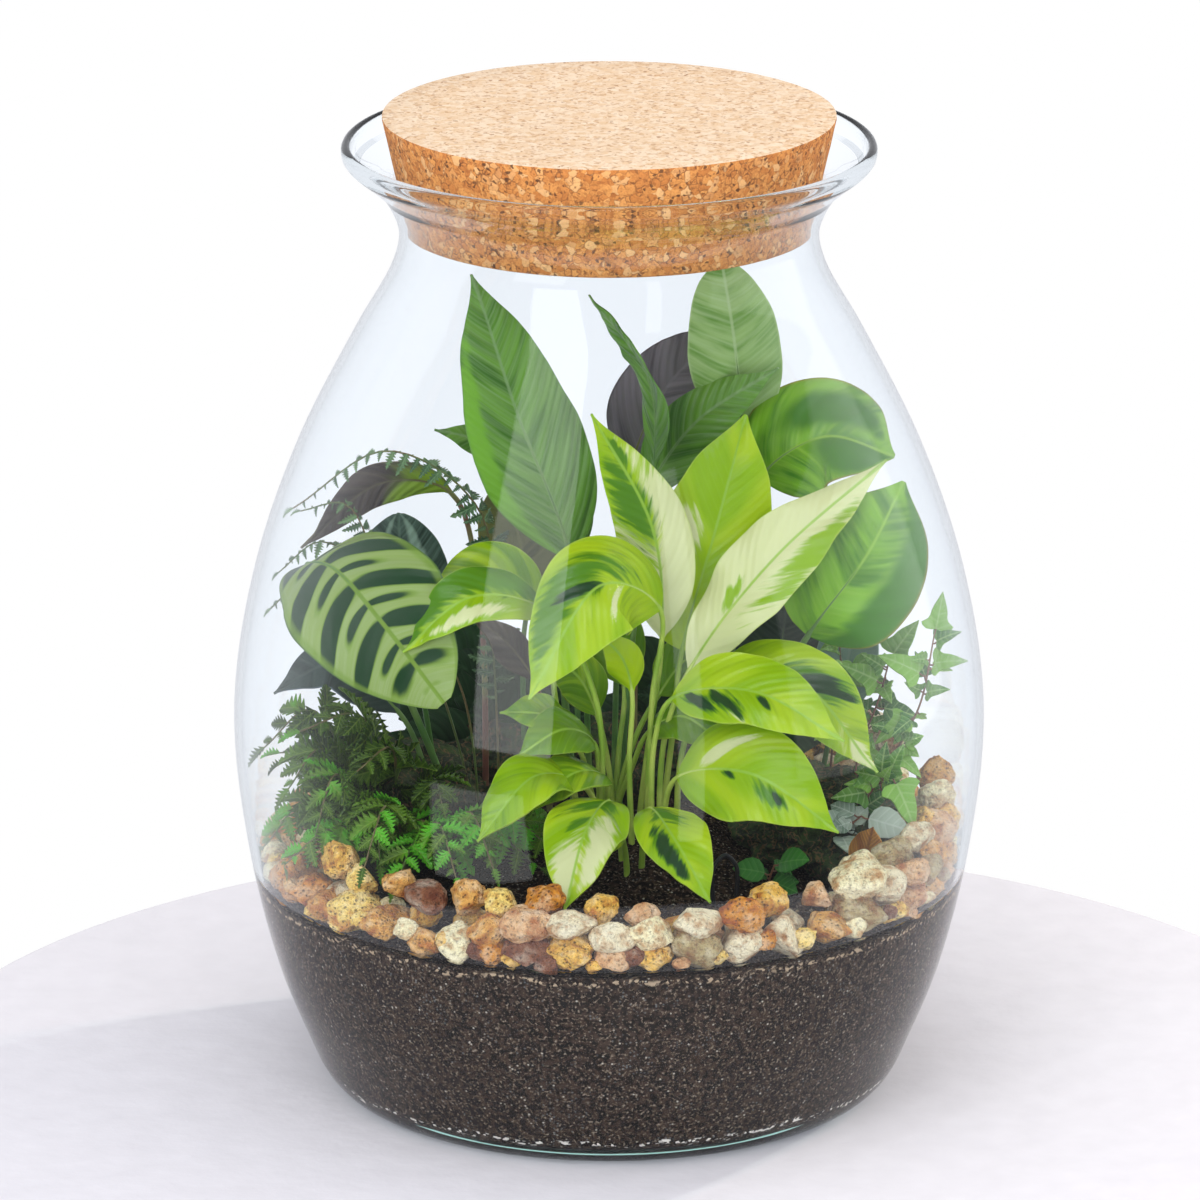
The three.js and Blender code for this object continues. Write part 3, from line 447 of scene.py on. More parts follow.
def small_leaf_finish(name, colours, gloss):
    """Leaflets and creeper leaves: tone changes from leaf to leaf, pale midrib."""
    deep, light, vein, fresh = colours
    material, tree = blank_material(name)
    leaf = leaf_map(tree, 2.4, 0.7, 0.02)
    place = node(tree, "ShaderNodeTexCoord").outputs["Object"]
    patches = node(tree, NOISE, {"Vector": place, "Scale": every(9), "Detail": 2})
    spread = node(tree, MATH, [patches, leaf.tone], operation="ADD")
    tone = node(tree, RANGE, [spread, 0.45, 1.45, 0, 1], **SMOOTH)
    thread = node(tree, RANGE, [leaf.vein, 0, 0.35, 0.5, 0])
    near_rib = node(tree, RANGE, [leaf.across, 0.1, 0.45, 0.7, 0])
    young = node(tree, RANGE, [spread, 1.05, 1.4, 0, 1], **SMOOTH)
    colour = layered(tree, deep, [
        (tone, light), (young, fresh), (thread, vein), (near_rib, vein),
    ])
    leaf_surface(tree, leaf, colour, gloss, relief=0.2)
    return material


def moss_finish():
    """Cushion moss and fine dead roots over dark litter."""
    material, tree = blank_material("cushion_moss")
    place = node(tree, "ShaderNodeTexCoord").outputs["Object"]
    tufts = node(tree, NOISE, {"Vector": place, "Scale": every(7.5), "Detail": 3})
    fronds = node(tree, NOISE, {"Vector": place, "Scale": every(1.1), "Detail": 3})
    roots = node(tree, "ShaderNodeTexWave", {
        "Vector": place, "Scale": every(16), "Distortion": 14, "Detail": 3, "Detail Scale": 2.5,
    })
    colour = layered(tree, "#1c2412", [
        (node(tree, RANGE, [tufts, 0.42, 0.66, 0, 1], **SMOOTH), "#33451b"),
        (node(tree, RANGE, [fronds, 0.5, 0.75, 0, 0.7]), "#4c5f2a"),
        (node(tree, RANGE, [roots, 0.9, 0.98, 0, 0.8]), "#6e5236"),
    ])
    height = node(tree, MATH, [fronds, 0.5, tufts], operation="MULTIPLY_ADD")
    bump = node(tree, BUMP, {"Height": height, "Strength": 1.0, "Distance": 1.5 * MM})
    shine = node(tree, SHINE, {"Base Color": colour, "Roughness": 0.9, "Normal": bump})
    node(tree, "ShaderNodeOutputMaterial", {"Surface": shine})
    return material


# Each look: deep, light, vein, edge and fresh colours, the veins, the roughness and, where it
# isn't 0.3, how much the veins show.
DARK_LOOKS = {
    # The upper look's fresh colour is the painted highlight along the tall dark leaf's lit edge.
    "upper": (("#40741a", "#70a236", "#8fae72", "#6a9448", "#7cb434"), LILY_VEINS, 0.28, 0.25),
    "under": (("#3c6a44", "#4f7f52", "#86a583", "#5d8a58", "#4f7f52"), LILY_VEINS, 0.5),
}
WINE_LOOK = ("#4a2f3a", "#5f4049", "#7a5a55", "#6f5a50", "#5f4049"), STRIPE_VEINS, 0.5
# Painted shade: the undergrowth at the back is near black-green, for the deep shade it lies in.
PAINTED_SHADE_LOOK = ("#16301a", "#264a24", "#3c5f38", "#2f4a2c", "#264a24"), LILY_VEINS, 0.4
STRIPED_LOOK = ("#98ae5c", "#1c4420", "#7d9c30", "#4a6b34"), 0.32    # ground, band, rib, edge
DEAD_VEINS = (2.2, 1.6, 0.0)
PLAIN_LOOKS = {          # the slot, then the look
    "broad": ("green_leaf", ("#428400", "#86be1e", "#a0ca44", "#b08a45", "#8fae2a"),
              BROAD_VEINS, 0.3, 0.12),
    "pale": ("green_leaf", ("#6f9c3c", "#a4c274", "#bdd298", "#c9d8a0", "#8fae2a"),
             BROAD_VEINS, 0.3),
    "banded": ("striped_leaf", ("#2f4438", "#4a5f50", "#6f8a76", "#5f7a66", "#93ab95"),
               LILY_VEINS, 0.35),
    "teal": ("green_leaf", ("#5c8577", "#83a596", "#9ab5a8", "#a7bfb2", "#8fae2a"),
             BROAD_VEINS, 0.45),
    "violet": ("slate_leaf", ("#6a6068", "#8c8288", "#9c9298", "#3a3438", "#8fae2a"),
               LILY_VEINS, 0.4),
    "slate": ("slate_leaf", ("#2c3a34", "#42524a", "#5a685f", "#8da0b5", "#8fae2a"),
              BROAD_VEINS, 0.42),
    "purple": ("slate_leaf", ("#3a2e34", "#574a46", "#6c6350", "#77704e", "#8fae2a"),
               LILY_VEINS, 0.45),
    "olive": ("striped_leaf", ("#55582a", "#76783c", "#8c8a50", "#a79a5a", "#8fae2a"),
              BROAD_VEINS, 0.42),
    "dead": ("dead_leaf", ("#a8631f", "#cf8f3a", "#8a4f1c", "#d9a050", "#8fae2a"),
             DEAD_VEINS, 0.7),
}
RED_STALKED = ("purple", "violet", "dead")

# ---------------------------------------------------------------- other finishes


def clear_glass_finish(settings, name="blown_glass", bending=1.41):
    """Blown soda-lime glass: smooth, colourless in the wall and sea-green where it is deep."""
    material, tree = blank_material(name)
    clear = node(tree, SHINE, {
        "Base Color": settings.tint, "Roughness": 0.0, "IOR": bending,
        "Transmission Weight": 1.0,
    })
    open_way = node(tree, "ShaderNodeBsdfTransparent", {"Color": "#f4f8fa"})
    rays = node(tree, "ShaderNodeLightPath")
    lit = node(tree, "ShaderNodeMixShader", [rays.outputs["Is Shadow Ray"], clear, open_way])
    soft = node(tree, "ShaderNodeMixShader", [rays.outputs["Is Diffuse Ray"], lit, open_way])
    depth = node(tree, "ShaderNodeVolumeAbsorption", {
        "Color": settings.depth_tint, "Density": settings.depth_density,
    })
    node(tree, "ShaderNodeOutputMaterial", {"Surface": soft, "Volume": depth})
    return material


def wetted_glass_finish():
    """The jar's inner face under the soil: moist soil touches it, so it mirrors nothing and
    the soil looks deeper there than the stones do."""
    material, tree = blank_material("wetted_glass")
    clear = node(tree, "ShaderNodeBsdfTransparent", {"Color": "#ffffff"})
    node(tree, "ShaderNodeOutputMaterial", {"Surface": clear})
    return material


def cork_finish(settings):
    """Agglomerated cork: pressed granules of bark with dark crevices. Its flat top is painted
    paler, less saturated and with fewer dark marks: painted light for the light on the top."""
    material, tree = blank_material("agglomerated_cork")
    spots = node(tree, "ShaderNodeTexCoord")
    place = spots.outputs["Object"]
    facing = node(tree, "ShaderNodeSeparateXYZ", [spots.outputs["Normal"]])
    # Painted light: faces that look up take the paler top colours, as the top is lit more.
    painted_top_light = node(tree, RANGE, [facing.outputs["Z"], 0.6, 0.9, 0, 1])
    bent = node(tree, NOISE, {"Vector": place, "Scale": every(4), "Detail": 2})
    warp = node(tree, "ShaderNodeVectorMath", [bent.outputs["Color"], (0.003, 0.003, 0.003)],
                operation="MULTIPLY")
    spot = node(tree, "ShaderNodeVectorMath", [place, warp], operation="ADD")
    per_grain = 1 / settings.granule
    grains = node(tree, CELLS, {"Vector": spot, "Scale": per_grain})
    chips = node(tree, CELLS, {"Vector": spot, "Scale": per_grain * 2.3})
    seams = node(tree, CELLS, {"Vector": spot, "Scale": per_grain}, feature="DISTANCE_TO_EDGE")
    fine = node(tree, NOISE, {"Vector": place, "Scale": every(0.7), "Detail": 3})
    shade = node(tree, "ShaderNodeSeparateColor", [grains.outputs["Color"]])
    flake = node(tree, "ShaderNodeSeparateColor", [chips.outputs["Color"]])
    tone = node(tree, RANGE, [shade, 0.1, 0.9, 0, 1])
    brown = node(tree, RANGE, [flake, 0.7, 0.95, 0, 0.7], **SMOOTH)
    pits = node(tree, RANGE, [flake.outputs[1], 0.94, 0.97, 0, 0.8])
    open_seam = node(tree, RANGE, [bent, 0.46, 0.6, 0.15, 1])
    crack = node(tree, MATH, [node(tree, RANGE, [seams, 0.0, 0.1, 0.9, 0]), open_seam],
                 operation="MULTIPLY")
    worn = node(tree, NOISE, {"Vector": place, "Scale": every(1.7), "Detail": 4})
    side = layered(tree, settings.pale, [
        (tone, settings.tan),
        (node(tree, RANGE, [fine, 0.45, 0.7, 0, 0.5]), settings.brown),
        (brown, settings.brown),
        (node(tree, RANGE, [shade.outputs[2], 0.72, 0.95, 0, 0.6]), "#e8b97e"),
        (crack, "#6e3f1e"),
        (node(tree, RANGE, [worn, 0.6, 0.68, 0, 0.75]), "#6a3a1a"),
        (pits, "#4a2a16"),
    ])
    # The top's paler, less saturated colours are painted light, not a different surface.
    top = layered(tree, "#e4ceb2", [
        (tone, "#dabb96"),
        (node(tree, RANGE, [worn, 0.55, 0.7, 0, 0.5]), "#c0966a"),
        (node(tree, RANGE, [flake, 0.82, 0.96, 0, 0.55]), "#ac7a4c"),
        (node(tree, RANGE, [flake.outputs[1], 0.955, 0.98, 0, 0.6]), "#8f5c34"),
    ])
    colour = node(tree, MIX, [painted_top_light, side, top])
    rough = node(tree, MATH, [seams, 3.0, flake], operation="MULTIPLY_ADD")
    height = node(tree, MATH, [fine, 0.8, rough], operation="MULTIPLY_ADD")
    bump = node(tree, BUMP, {"Height": height, "Strength": 0.45, "Distance": 0.35 * MM})
    shine = node(tree, SHINE, {"Base Color": colour, "Roughness": 0.82, "Normal": bump})
    node(tree, "ShaderNodeOutputMaterial", {"Surface": shine})
    return material


def soil_finish(settings):
    """Moist potting soil: dark crumbs with lighter grit, a few pale grains, and a line of grit
    where it meets the stones. At the foot of the glass a line of near-white grit is painted
    glints."""
    material, tree = blank_material("potting_soil")
    place = node(tree, "ShaderNodeTexCoord").outputs["Object"]
    level = node(tree, "ShaderNodeSeparateXYZ", [place]).outputs["Z"]
    clods = node(tree, NOISE, {"Vector": place, "Scale": every(14), "Detail": 4})
    crumbs = node(tree, NOISE, {"Vector": place, "Scale": every(2.4), "Detail": 4})
    dust = node(tree, NOISE, {"Vector": place, "Scale": every(1.1), "Detail": 2})
    grit = node(tree, CELLS, {"Vector": place, "Scale": 1 / settings.grain})
    kind = node(tree, "ShaderNodeSeparateColor", [grit.outputs["Color"]])
    near = node(tree, RANGE, [grit, 0.1, 0.42, 1, 0])
    damp = node(tree, RANGE, [clods, 0.47, 0.62, 0, 1], **SMOOTH)
    grey = node(tree, MATH, [node(tree, RANGE, [kind, 0.6, 0.85, 0, 0.7]), near],
                operation="MULTIPLY")
    blue = node(tree, MATH, [grey, damp], operation="MULTIPLY")
    pale = node(tree, MATH, [node(tree, RANGE, [kind.outputs[1], 0.955, 0.97, 0, 0.9]), near],
                operation="MULTIPLY")

    def grit_and_glint_line(height, spread, share):
        """A thin uneven line of pale specks round the soil at one height: grit, and at the foot
        of the glass, painted glints.
        """
        uneven = node(tree, MATH, [clods, 0.008, height - 0.004], operation="MULTIPLY_ADD")
        off = node(tree, MATH, [level, uneven], operation="SUBTRACT")
        far = node(tree, MATH, [off], operation="ABSOLUTE")
        band = node(tree, RANGE, [far, spread * 0.4, spread, 1, 0])
        some = node(tree, RANGE, [kind.outputs[2], 1 - share, 1.05 - share, 0, 1])
        return node(tree, MATH, [band, some], operation="MULTIPLY")

    colour = layered(tree, settings.dark, [
        (node(tree, RANGE, [clods, 0.35, 0.7, 0, 1]), settings.brown),
        (node(tree, RANGE, [crumbs, 0.46, 0.6, 0, 0.8]), "#413126"),
        (node(tree, RANGE, [dust, 0.56, 0.64, 0, 0.85]), "#6a5b4c"),
        (node(tree, RANGE, [dust, 0.66, 0.72, 0, 0.8]), "#94887a"),
        (blue, "#787c7e"),
        (pale, "#c4bcae"),
        (grit_and_glint_line(SOIL.edge * MM - 0.002, 0.0014, 0.3), "#a8937a"),
        # Painted glints: this near-white line at the glass foot stands in for the glints there.
        (grit_and_glint_line(0.0112, 0.0012, 0.25), "#efe9df"),
    ])
    height = node(tree, MATH, [crumbs, 2.0, clods], operation="MULTIPLY_ADD")
    bump = node(tree, BUMP, {"Height": height, "Strength": 1.0, "Distance": 1.2 * MM})
    shine = node(tree, SHINE, {
        "Base Color": colour, "Roughness": 0.95, "Specular IOR Level": 0.0, "Normal": bump,
    })
    node(tree, "ShaderNodeOutputMaterial", {"Surface": shine})
    return material


def pebble_finish():
    """Gravel of mixed rock: each stone has its own colour, mottled, pitted or smooth; its pits
    are painted dark as shade.
    """
    material, tree = blank_material("mixed_gravel")
    place = node(tree, "ShaderNodeTexCoord").outputs["Object"]
    own = node(tree, "ShaderNodeAttribute", attribute_name="stone")
    rough = node(tree, "ShaderNodeAttribute", attribute_name="grit")
    mottle = node(tree, NOISE, {"Vector": place, "Scale": every(7), "Detail": 4})
    grains = node(tree, NOISE, {"Vector": place, "Scale": every(2.6), "Detail": 4})
    specks = node(tree, NOISE, {"Vector": place, "Scale": every(0.9), "Detail": 2})
    pits = node(tree, CELLS, {"Vector": place, "Scale": every(1.9)})
    dusky = node(tree, MIX, [1.0, own.outputs["Color"], "#bf8a58"], blend_type="MULTIPLY")
    light = node(tree, MIX, [0.4, own.outputs["Color"], "#fbf0d8"])
    # Painted shade: the pits of the rougher stones are darkened as shade would darken them.
    hole = node(tree, RANGE, [pits, 0.12, 0.3, 1, 0])
    deep = node(tree, MATH, [hole, rough.outputs["Fac"]], operation="MULTIPLY")
    colour = layered(tree, own.outputs["Color"], [
        (node(tree, RANGE, [mottle, 0.5, 0.66, 0, 0.9]), dusky),
        (node(tree, RANGE, [mottle, 0.5, 0.36, 0, 0.7]), light),
        (node(tree, RANGE, [grains, 0.54, 0.66, 0, 0.5]), dusky),
        (node(tree, RANGE, [specks, 0.55, 0.7, 0, 0.45]), "#5f422e"),
        (node(tree, MATH, [deep, 0.55], operation="MULTIPLY"), "#4b2d1a"),
    ])
    holes = node(tree, MATH, [deep, -1.2], operation="MULTIPLY")
    worn = node(tree, MATH, [grains, 2.5, holes], operation="MULTIPLY_ADD")
    height = node(tree, MATH, [specks, 0.7, worn], operation="MULTIPLY_ADD")
    bump = node(tree, BUMP, {"Height": height, "Strength": 1.0, "Distance": 1.4 * MM})
    shine = node(tree, SHINE, {"Base Color": colour, "Roughness": 0.8, "Normal": bump})
    node(tree, "ShaderNodeOutputMaterial", {"Surface": shine})
    return material


def wire_finish():
    """Plastic-coated florist's wire, black and a little scuffed."""
    material, tree = blank_material("coated_wire")
    place = node(tree, "ShaderNodeTexCoord").outputs["Object"]
    scuffs = node(tree, NOISE, {"Vector": place, "Scale": every(1.4), "Detail": 2})
    gloss = node(tree, RANGE, [scuffs, 0.3, 0.7, 0.3, 0.55])
    tone = node(tree, MIX, [scuffs, "#121214", "#2b2b2e"])
    shine = node(tree, SHINE, {"Base Color": tone, "Roughness": gloss})
    node(tree, "ShaderNodeOutputMaterial", {"Surface": shine})
    return material


def plaster_finish():
    """The plinth the jar stands on: matt white plaster, lightly trowelled."""
    material, tree = blank_material("white_plaster")
    place = node(tree, "ShaderNodeTexCoord").outputs["Object"]
    lumps = node(tree, NOISE, {"Vector": place, "Scale": every(16), "Detail": 6})
    colour = node(tree, MIX, [lumps, "#d6d4d8", "#e2e0e4"])
    bump = node(tree, BUMP, {"Height": lumps, "Strength": 0.35, "Distance": 2 * MM})
    shine = node(tree, SHINE, {"Base Color": colour, "Roughness": 0.95, "Normal": bump})
    node(tree, "ShaderNodeOutputMaterial", {"Surface": shine})
    return material


# ---------------------------------------------------------------- modelling helpers


def clear_selection():
    """Goes back to object mode, with nothing selected."""
    if bpy.context.mode != "OBJECT":
        bpy.ops.object.mode_set(mode="OBJECT")
    bpy.ops.object.select_all(action="DESELECT")


def make_active(piece):
    """Selects one piece alone."""
    clear_selection()
    piece.select_set(True)
    bpy.context.view_layer.objects.active = piece


def fitted(piece, kind, **settings):
    """Adds a modifier to a piece and applies it."""
    make_active(piece)
    bpy.ops.object.modifier_add(type=kind)
    modifier = piece.modifiers[-1]
    for name, value in settings.items():
        setattr(modifier, name, value)
    bpy.ops.object.modifier_apply(modifier=modifier.name)


def rounded_off(piece, degrees=40):
    """Shades a piece smooth, except over sharper bends than this."""
    make_active(piece)
    bpy.ops.object.shade_smooth_by_angle(angle=math.radians(degrees))


def dress(piece, name, node_name=None, slot=None):
    """Names a finished piece, hangs it on the root, and hides the CAD node it stands in for."""
    piece.name = name
    piece.data.name = name
    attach(piece, "root")
    if node_name:
        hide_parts(node_name)


def joined(pieces):
    """Makes one object of several."""
    clear_selection()
    for piece in pieces:
        piece.select_set(True)
    bpy.context.view_layer.objects.active = pieces[0]
    if len(pieces) > 1:
        bpy.ops.object.join()
    return pieces[0]


def grown(pieces, name, slot):
    """Makes one plant of its pieces, and pulls in what would poke through the glass."""
    plant = joined(pieces)
    for vertex in plant.data.vertices:
        reach, height = vertex.co.xy.length / MM, vertex.co.z / MM
        if reach > NEAR_GLASS and FLOOR_Z < height < CORK.bottom:
            room = inside_radius(height, CLEAR)
            if reach > room:
                vertex.co.xy *= room / reach
    dress(plant, f"{name}_grown", name, slot)


def spun(profile, steps=AROUND):
    """A solid of revolution about Z: one point is extruded along the profile, then spun."""
    clear_selection()
    bpy.ops.mesh.primitive_plane_add(size=MM)
    bpy.ops.object.mode_set(mode="EDIT")
    bpy.ops.mesh.merge(type="CENTER")
    before = Vector((0, 0, 0))
    for i, (r, z) in enumerate(profile):
        after = Vector((r, 0, z)) * MM
        if i:
            bpy.ops.mesh.extrude_region_move(TRANSFORM_OT_translate={"value": after - before})
        else:
            bpy.ops.transform.translate(value=after)
        before = after
    bpy.ops.mesh.select_all(action="SELECT")
    bpy.ops.mesh.spin(steps=steps, angle=2 * math.pi, center=(0, 0, 0), axis=(0, 0, 1))
    bpy.ops.mesh.select_all(action="SELECT")
    bpy.ops.mesh.remove_doubles(threshold=MM / 100)
    bpy.ops.mesh.normals_make_consistent(inside=False)
    bpy.ops.object.mode_set(mode="OBJECT")
    return bpy.context.object


def tubes(lines, material, sides=8):
    """Closed tubes of changing radius: each line is a list of (point, radius) pairs."""
    clear_selection()
    bpy.ops.curve.primitive_bezier_curve_add()
    piece = bpy.context.object
    curve = piece.data
    curve.splines.clear()
    curve.bevel_depth = MM
    curve.bevel_resolution = (sides - 4) // 2
    curve.use_fill_caps = True
    for line in lines:
        spline = curve.splines.new("POLY")
        spline.points.add(len(line) - 1)
        for spot, (point, radius) in zip(spline.points, line):
            spot.co = (*(point * MM), 1)
            spot.radius = radius
    curve.materials.append(material)
    bpy.ops.object.convert(target="MESH")
    piece = bpy.context.object
    rounded_off(piece, 60)
    return piece


def written(mesh, name, values):
    """Writes one vector for each of the mesh's points."""
    layer = mesh.attributes.new(name, "FLOAT_VECTOR", "POINT")
    layer.data.foreach_set("vector", [c for value in values for c in value])


# ---------------------------------------------------------------- leaves

OUTLINES = {
    "lily": (0.4, 0.95), "lance": (0.45, 1.1), "broad": (0.4, 0.66), "round": (0.46, 0.56),
}
VEINS = {"lily": LILY_VEINS, "lance": LANCE_VEINS, "broad": BROAD_VEINS, "round": STRIPE_VEINS}


def outline_at(kind, along):
    """The blade's half width at a place along it: 1 at its widest, drawn out at the tip."""
    widest, blunt = OUTLINES[kind]
    bend = math.log(0.5) / math.log(widest)
    tip = 0.1 if kind == "round" else 0.4
    drawn = blunt + tip * smooth(along, 0.72, 1)
    return max(0.0, math.sin(math.pi * clamp(along) ** bend)) ** drawn


def mark_at(marks, rise, across):
    """How deep a place lies in the nearest of a leaf's marks, which are ellipses."""
    best = -3.0
    for rise_at, across_at, rise_half, across_half in marks:
        away = math.hypot((rise - rise_at) / rise_half, (across - across_at) / across_half)
        best = max(best, 1 - away)
    return best


def laid_out(form, knots):
    """Where on its curve the blade starts, and where its upper side looks at each end."""
    spans = len(knots) - 1
    faces = [Vector(f) for f in form.get("face", [(0, -1, 0.35)])]
    return (spans - form.get("blade", 2)) / spans, faces[0], faces[-1]


def leaf_blade(form, knots, materials, seed):
    """A blade as a fine grid laid along the curve, thickened to a leaf. It folds along its
    midrib, cups and twists; its edge waves, and it swells between its side veins."""
    kind = form.get("kind", "lily")
    wide, stem = form["wide"], form.get("stem", 1.3)
    fold, cup, wave = form.get("fold", 0.26), form.get("cup", -0.22), form.get("wave", 0)
    ruffle, twist = form.get("ruffle", 4), math.radians(form.get("twist", 24))
    start, first, last = laid_out(form, knots)
    length = stretch(knots, start, 1, 1)[1]
    rows = max(12, round(length / BLADE.step))
    columns = 2 * max(4, round(wide / BLADE.step / 2))
    places, _ = stretch(knots, start, 1, rows)
    spacing, lean, bow = VEINS[kind]

    def share_of(along, across):
        """Where on the midrib the side vein through this place begins."""
        return along - (lean * abs(across) + bow * across**2) / length

    marks = [[(share_of(at, v * outline_at(kind, at) * wide / 2), v, tall, broad)
              for at, v, tall, broad in form.get(name, ())] for name in ("dark", "pale", "mid")]
    clear_selection()
    bpy.ops.mesh.primitive_grid_add(x_subdivisions=columns, y_subdivisions=rows, size=2)
    piece = bpy.context.object
    mesh = piece.data
    points, blade, depths = [], [], []
    for vertex in mesh.vertices:
        v = vertex.co.x
        row = round((vertex.co.y + 1) / 2 * rows)
        along = row / rows
        at, ahead = places[row]
        face = first.lerp(last, along)
        turn = twist * noise.noise((along * 1.6, 9.3, seed)) * smooth(along, 0, 0.3)
        flat_side = ahead.cross(face).normalized()
        flat_up = flat_side.cross(ahead)
        side = flat_side * math.cos(turn) + flat_up * math.sin(turn)
        up = side.cross(ahead)
        out = abs(v)
        which = 1 if v > 0 else -1
        outline = outline_at(kind, along * 0.985)
        uneven = 1 + 0.1 * noise.noise((along * length / 26, which * 4.7, seed))
        half = max(stem * mix(0.87, 0.3, along), outline * wide / 2 * uneven)
        across = v * half
        rise = share_of(along, across)
        ripple = wave * math.sin(along * 11 + (0 if v > 0 else 2)) * out**2
        frill = ruffle * out**2.5 * noise.noise((along * length / 20, which * 2.0, seed))
        pucker = 0.9 * noise.noise((rise * length / 9, across / 16, seed)) * min(1, out * 3)
        quilt = 0.04 * math.sin(math.pi * rise * length / spacing) ** 2 * math.sin(math.pi * out)
        swell = 1.5 * noise.noise((rise * length / 21, across / 15, seed + 5)) * min(1, out * 2)
        lift = ((fold * out + cup * out**2) * half + (ripple + frill) * outline
                + pucker + quilt + swell)
        points.append((at + side * across + up * lift * smooth(along, 0, 0.2)) * MM)
        blade.append((across, along * length, out))
        depths.append([mark_at(patches, rise, v) for patches in marks])
    mesh.vertices.foreach_set("co", [c for point in points for c in point])
    written(mesh, "blade", blade)
    written(mesh, "marks", depths)
    written(mesh, "growth", [(seed, form.get("tone", 0), 0)] * len(points))
    for material in materials:
        mesh.materials.append(material)
    fitted(piece, "SOLIDIFY", thickness=BLADE.thick * MM, offset=0, material_offset=1)
    rounded_off(piece)
    return piece


def leaf_stalk(form, knots, material):
    """The stalk from the soil, which runs on under the blade as its midrib."""
    stem = form.get("stem", 1.3)
    start, first, last = laid_out(form, knots)
    stalk, _ = stretch(knots, 0, start, 24)
    rib, _ = stretch(knots, start, 1, 30)
    line = [(at, stem * mix(1.05, 0.8, i / 24)) for i, (at, _) in enumerate(stalk)]
    for i, (at, ahead) in enumerate(rib[1:28]):
        part = (i + 1) / 30
        up = ahead.cross(first.lerp(last, part)).normalized().cross(ahead)
        radius = stem * mix(0.8, 0.16, part**0.6)
        line.append((at - up * (radius * 0.35), radius))
    return tubes([line], material)


def grow_leaf(name, form, materials, stalk, slot, seed):
    """One leaf on its stalk, or a few from one root."""
    pieces = []
    for i, blade in enumerate([form, *form.get("with", ())]):
        blade = {**form, **blade}
        knots = stem_knots(blade)
        pieces += [leaf_blade(blade, knots, materials, seed + 31 * i),
                   leaf_stalk(blade, knots, stalk)]
    grown(pieces, name, slot)


# ---------------------------------------------------------------- small leaves

PINNA = [(0.0, 0.06), (0.06, 0.7), (0.14, 0.24), (0.2, 0.96), (0.3, 0.3), (0.36, 0.92),
         (0.46, 0.26), (0.52, 0.76), (0.62, 0.22), (0.68, 0.54), (0.78, 0.15), (0.84, 0.32),
         (1.0, 0.02)]
LOBED = [(0.0, 0.3), (0.05, 0.62), (0.16, 0.86), (0.26, 0.94), (0.33, 0.6), (0.42, 0.5),
         (0.56, 0.46), (0.7, 0.36), (0.84, 0.2), (1.0, 0.02)]
OVAL = [(0.0, 0.08), (0.12, 0.5), (0.3, 0.78), (0.5, 0.86), (0.7, 0.74), (0.88, 0.42),
        (1.0, 0.05)]


def small_leaf(outline, materials, droop, cup=0.3, lean=-0.1, size=12):
    """One small leaf, 1 long and 1 wide, that the others of its kind are copies of."""
    clear_selection()
    rows = len(outline) - 1
    bpy.ops.mesh.primitive_grid_add(x_subdivisions=4, y_subdivisions=rows, size=2)
    piece = bpy.context.object
    mesh = piece.data
    blade = []
    for vertex in mesh.vertices:
        v = vertex.co.x
        along, half = outline[round((vertex.co.y + 1) / 2 * rows)]
        reach = v * half / 2
        vertex.co = (reach, along + lean * abs(v) * half, cup * abs(reach) - droop * along**2)
        blade.append((reach * size, along * size, abs(v)))
    written(mesh, "blade", blade)
    written(mesh, "marks", [(-3, -3, -3)] * len(blade))
    written(mesh, "growth", [(0, 0, 0)] * len(blade))
    for material in materials:
        mesh.materials.append(material)
    fitted(piece, "SOLIDIFY", thickness=0.04, offset=0, material_offset=1)
    rounded_off(piece)
    return piece


def copied_leaf(pattern, base, ahead, face, size, wide, tone):
    """A copy of a small leaf, with its own mesh, turned and stretched to its place."""
    twin = pattern.copy()
    twin.data = pattern.data.copy()
    bpy.context.scene.collection.objects.link(twin)
    ahead = ahead.normalized()
    side = ahead.cross(face).normalized()
    up = side.cross(ahead)
    columns = (side * wide, ahead * size, up * size, base)
    matrix = Matrix([[columns[c][r] * MM for c in range(4)] for r in range(3)] + [(0, 0, 0, 1)])
    twin.data.transform(matrix)
    growth = twin.data.attributes["growth"].data
    growth.foreach_set("vector", (tone * 40, tone, 0) * len(growth))
    return twin


def turned_way(form, degrees, height):
    """The same frond, swung round its root and made lower."""
    root = Vector((*form["root"], 0))
    turn = Matrix.Rotation(math.radians(degrees), 3, "Z")
    ground = soil_height(root.length)
    way = []
    for point in form["way"]:
        away = turn @ (Vector(point) - root)
        way.append((root.x + away.x, root.y + away.y, mix(ground, away.z, height)))
    return {**form, "way": way, "seed": form["seed"] + round(degrees) + 400}


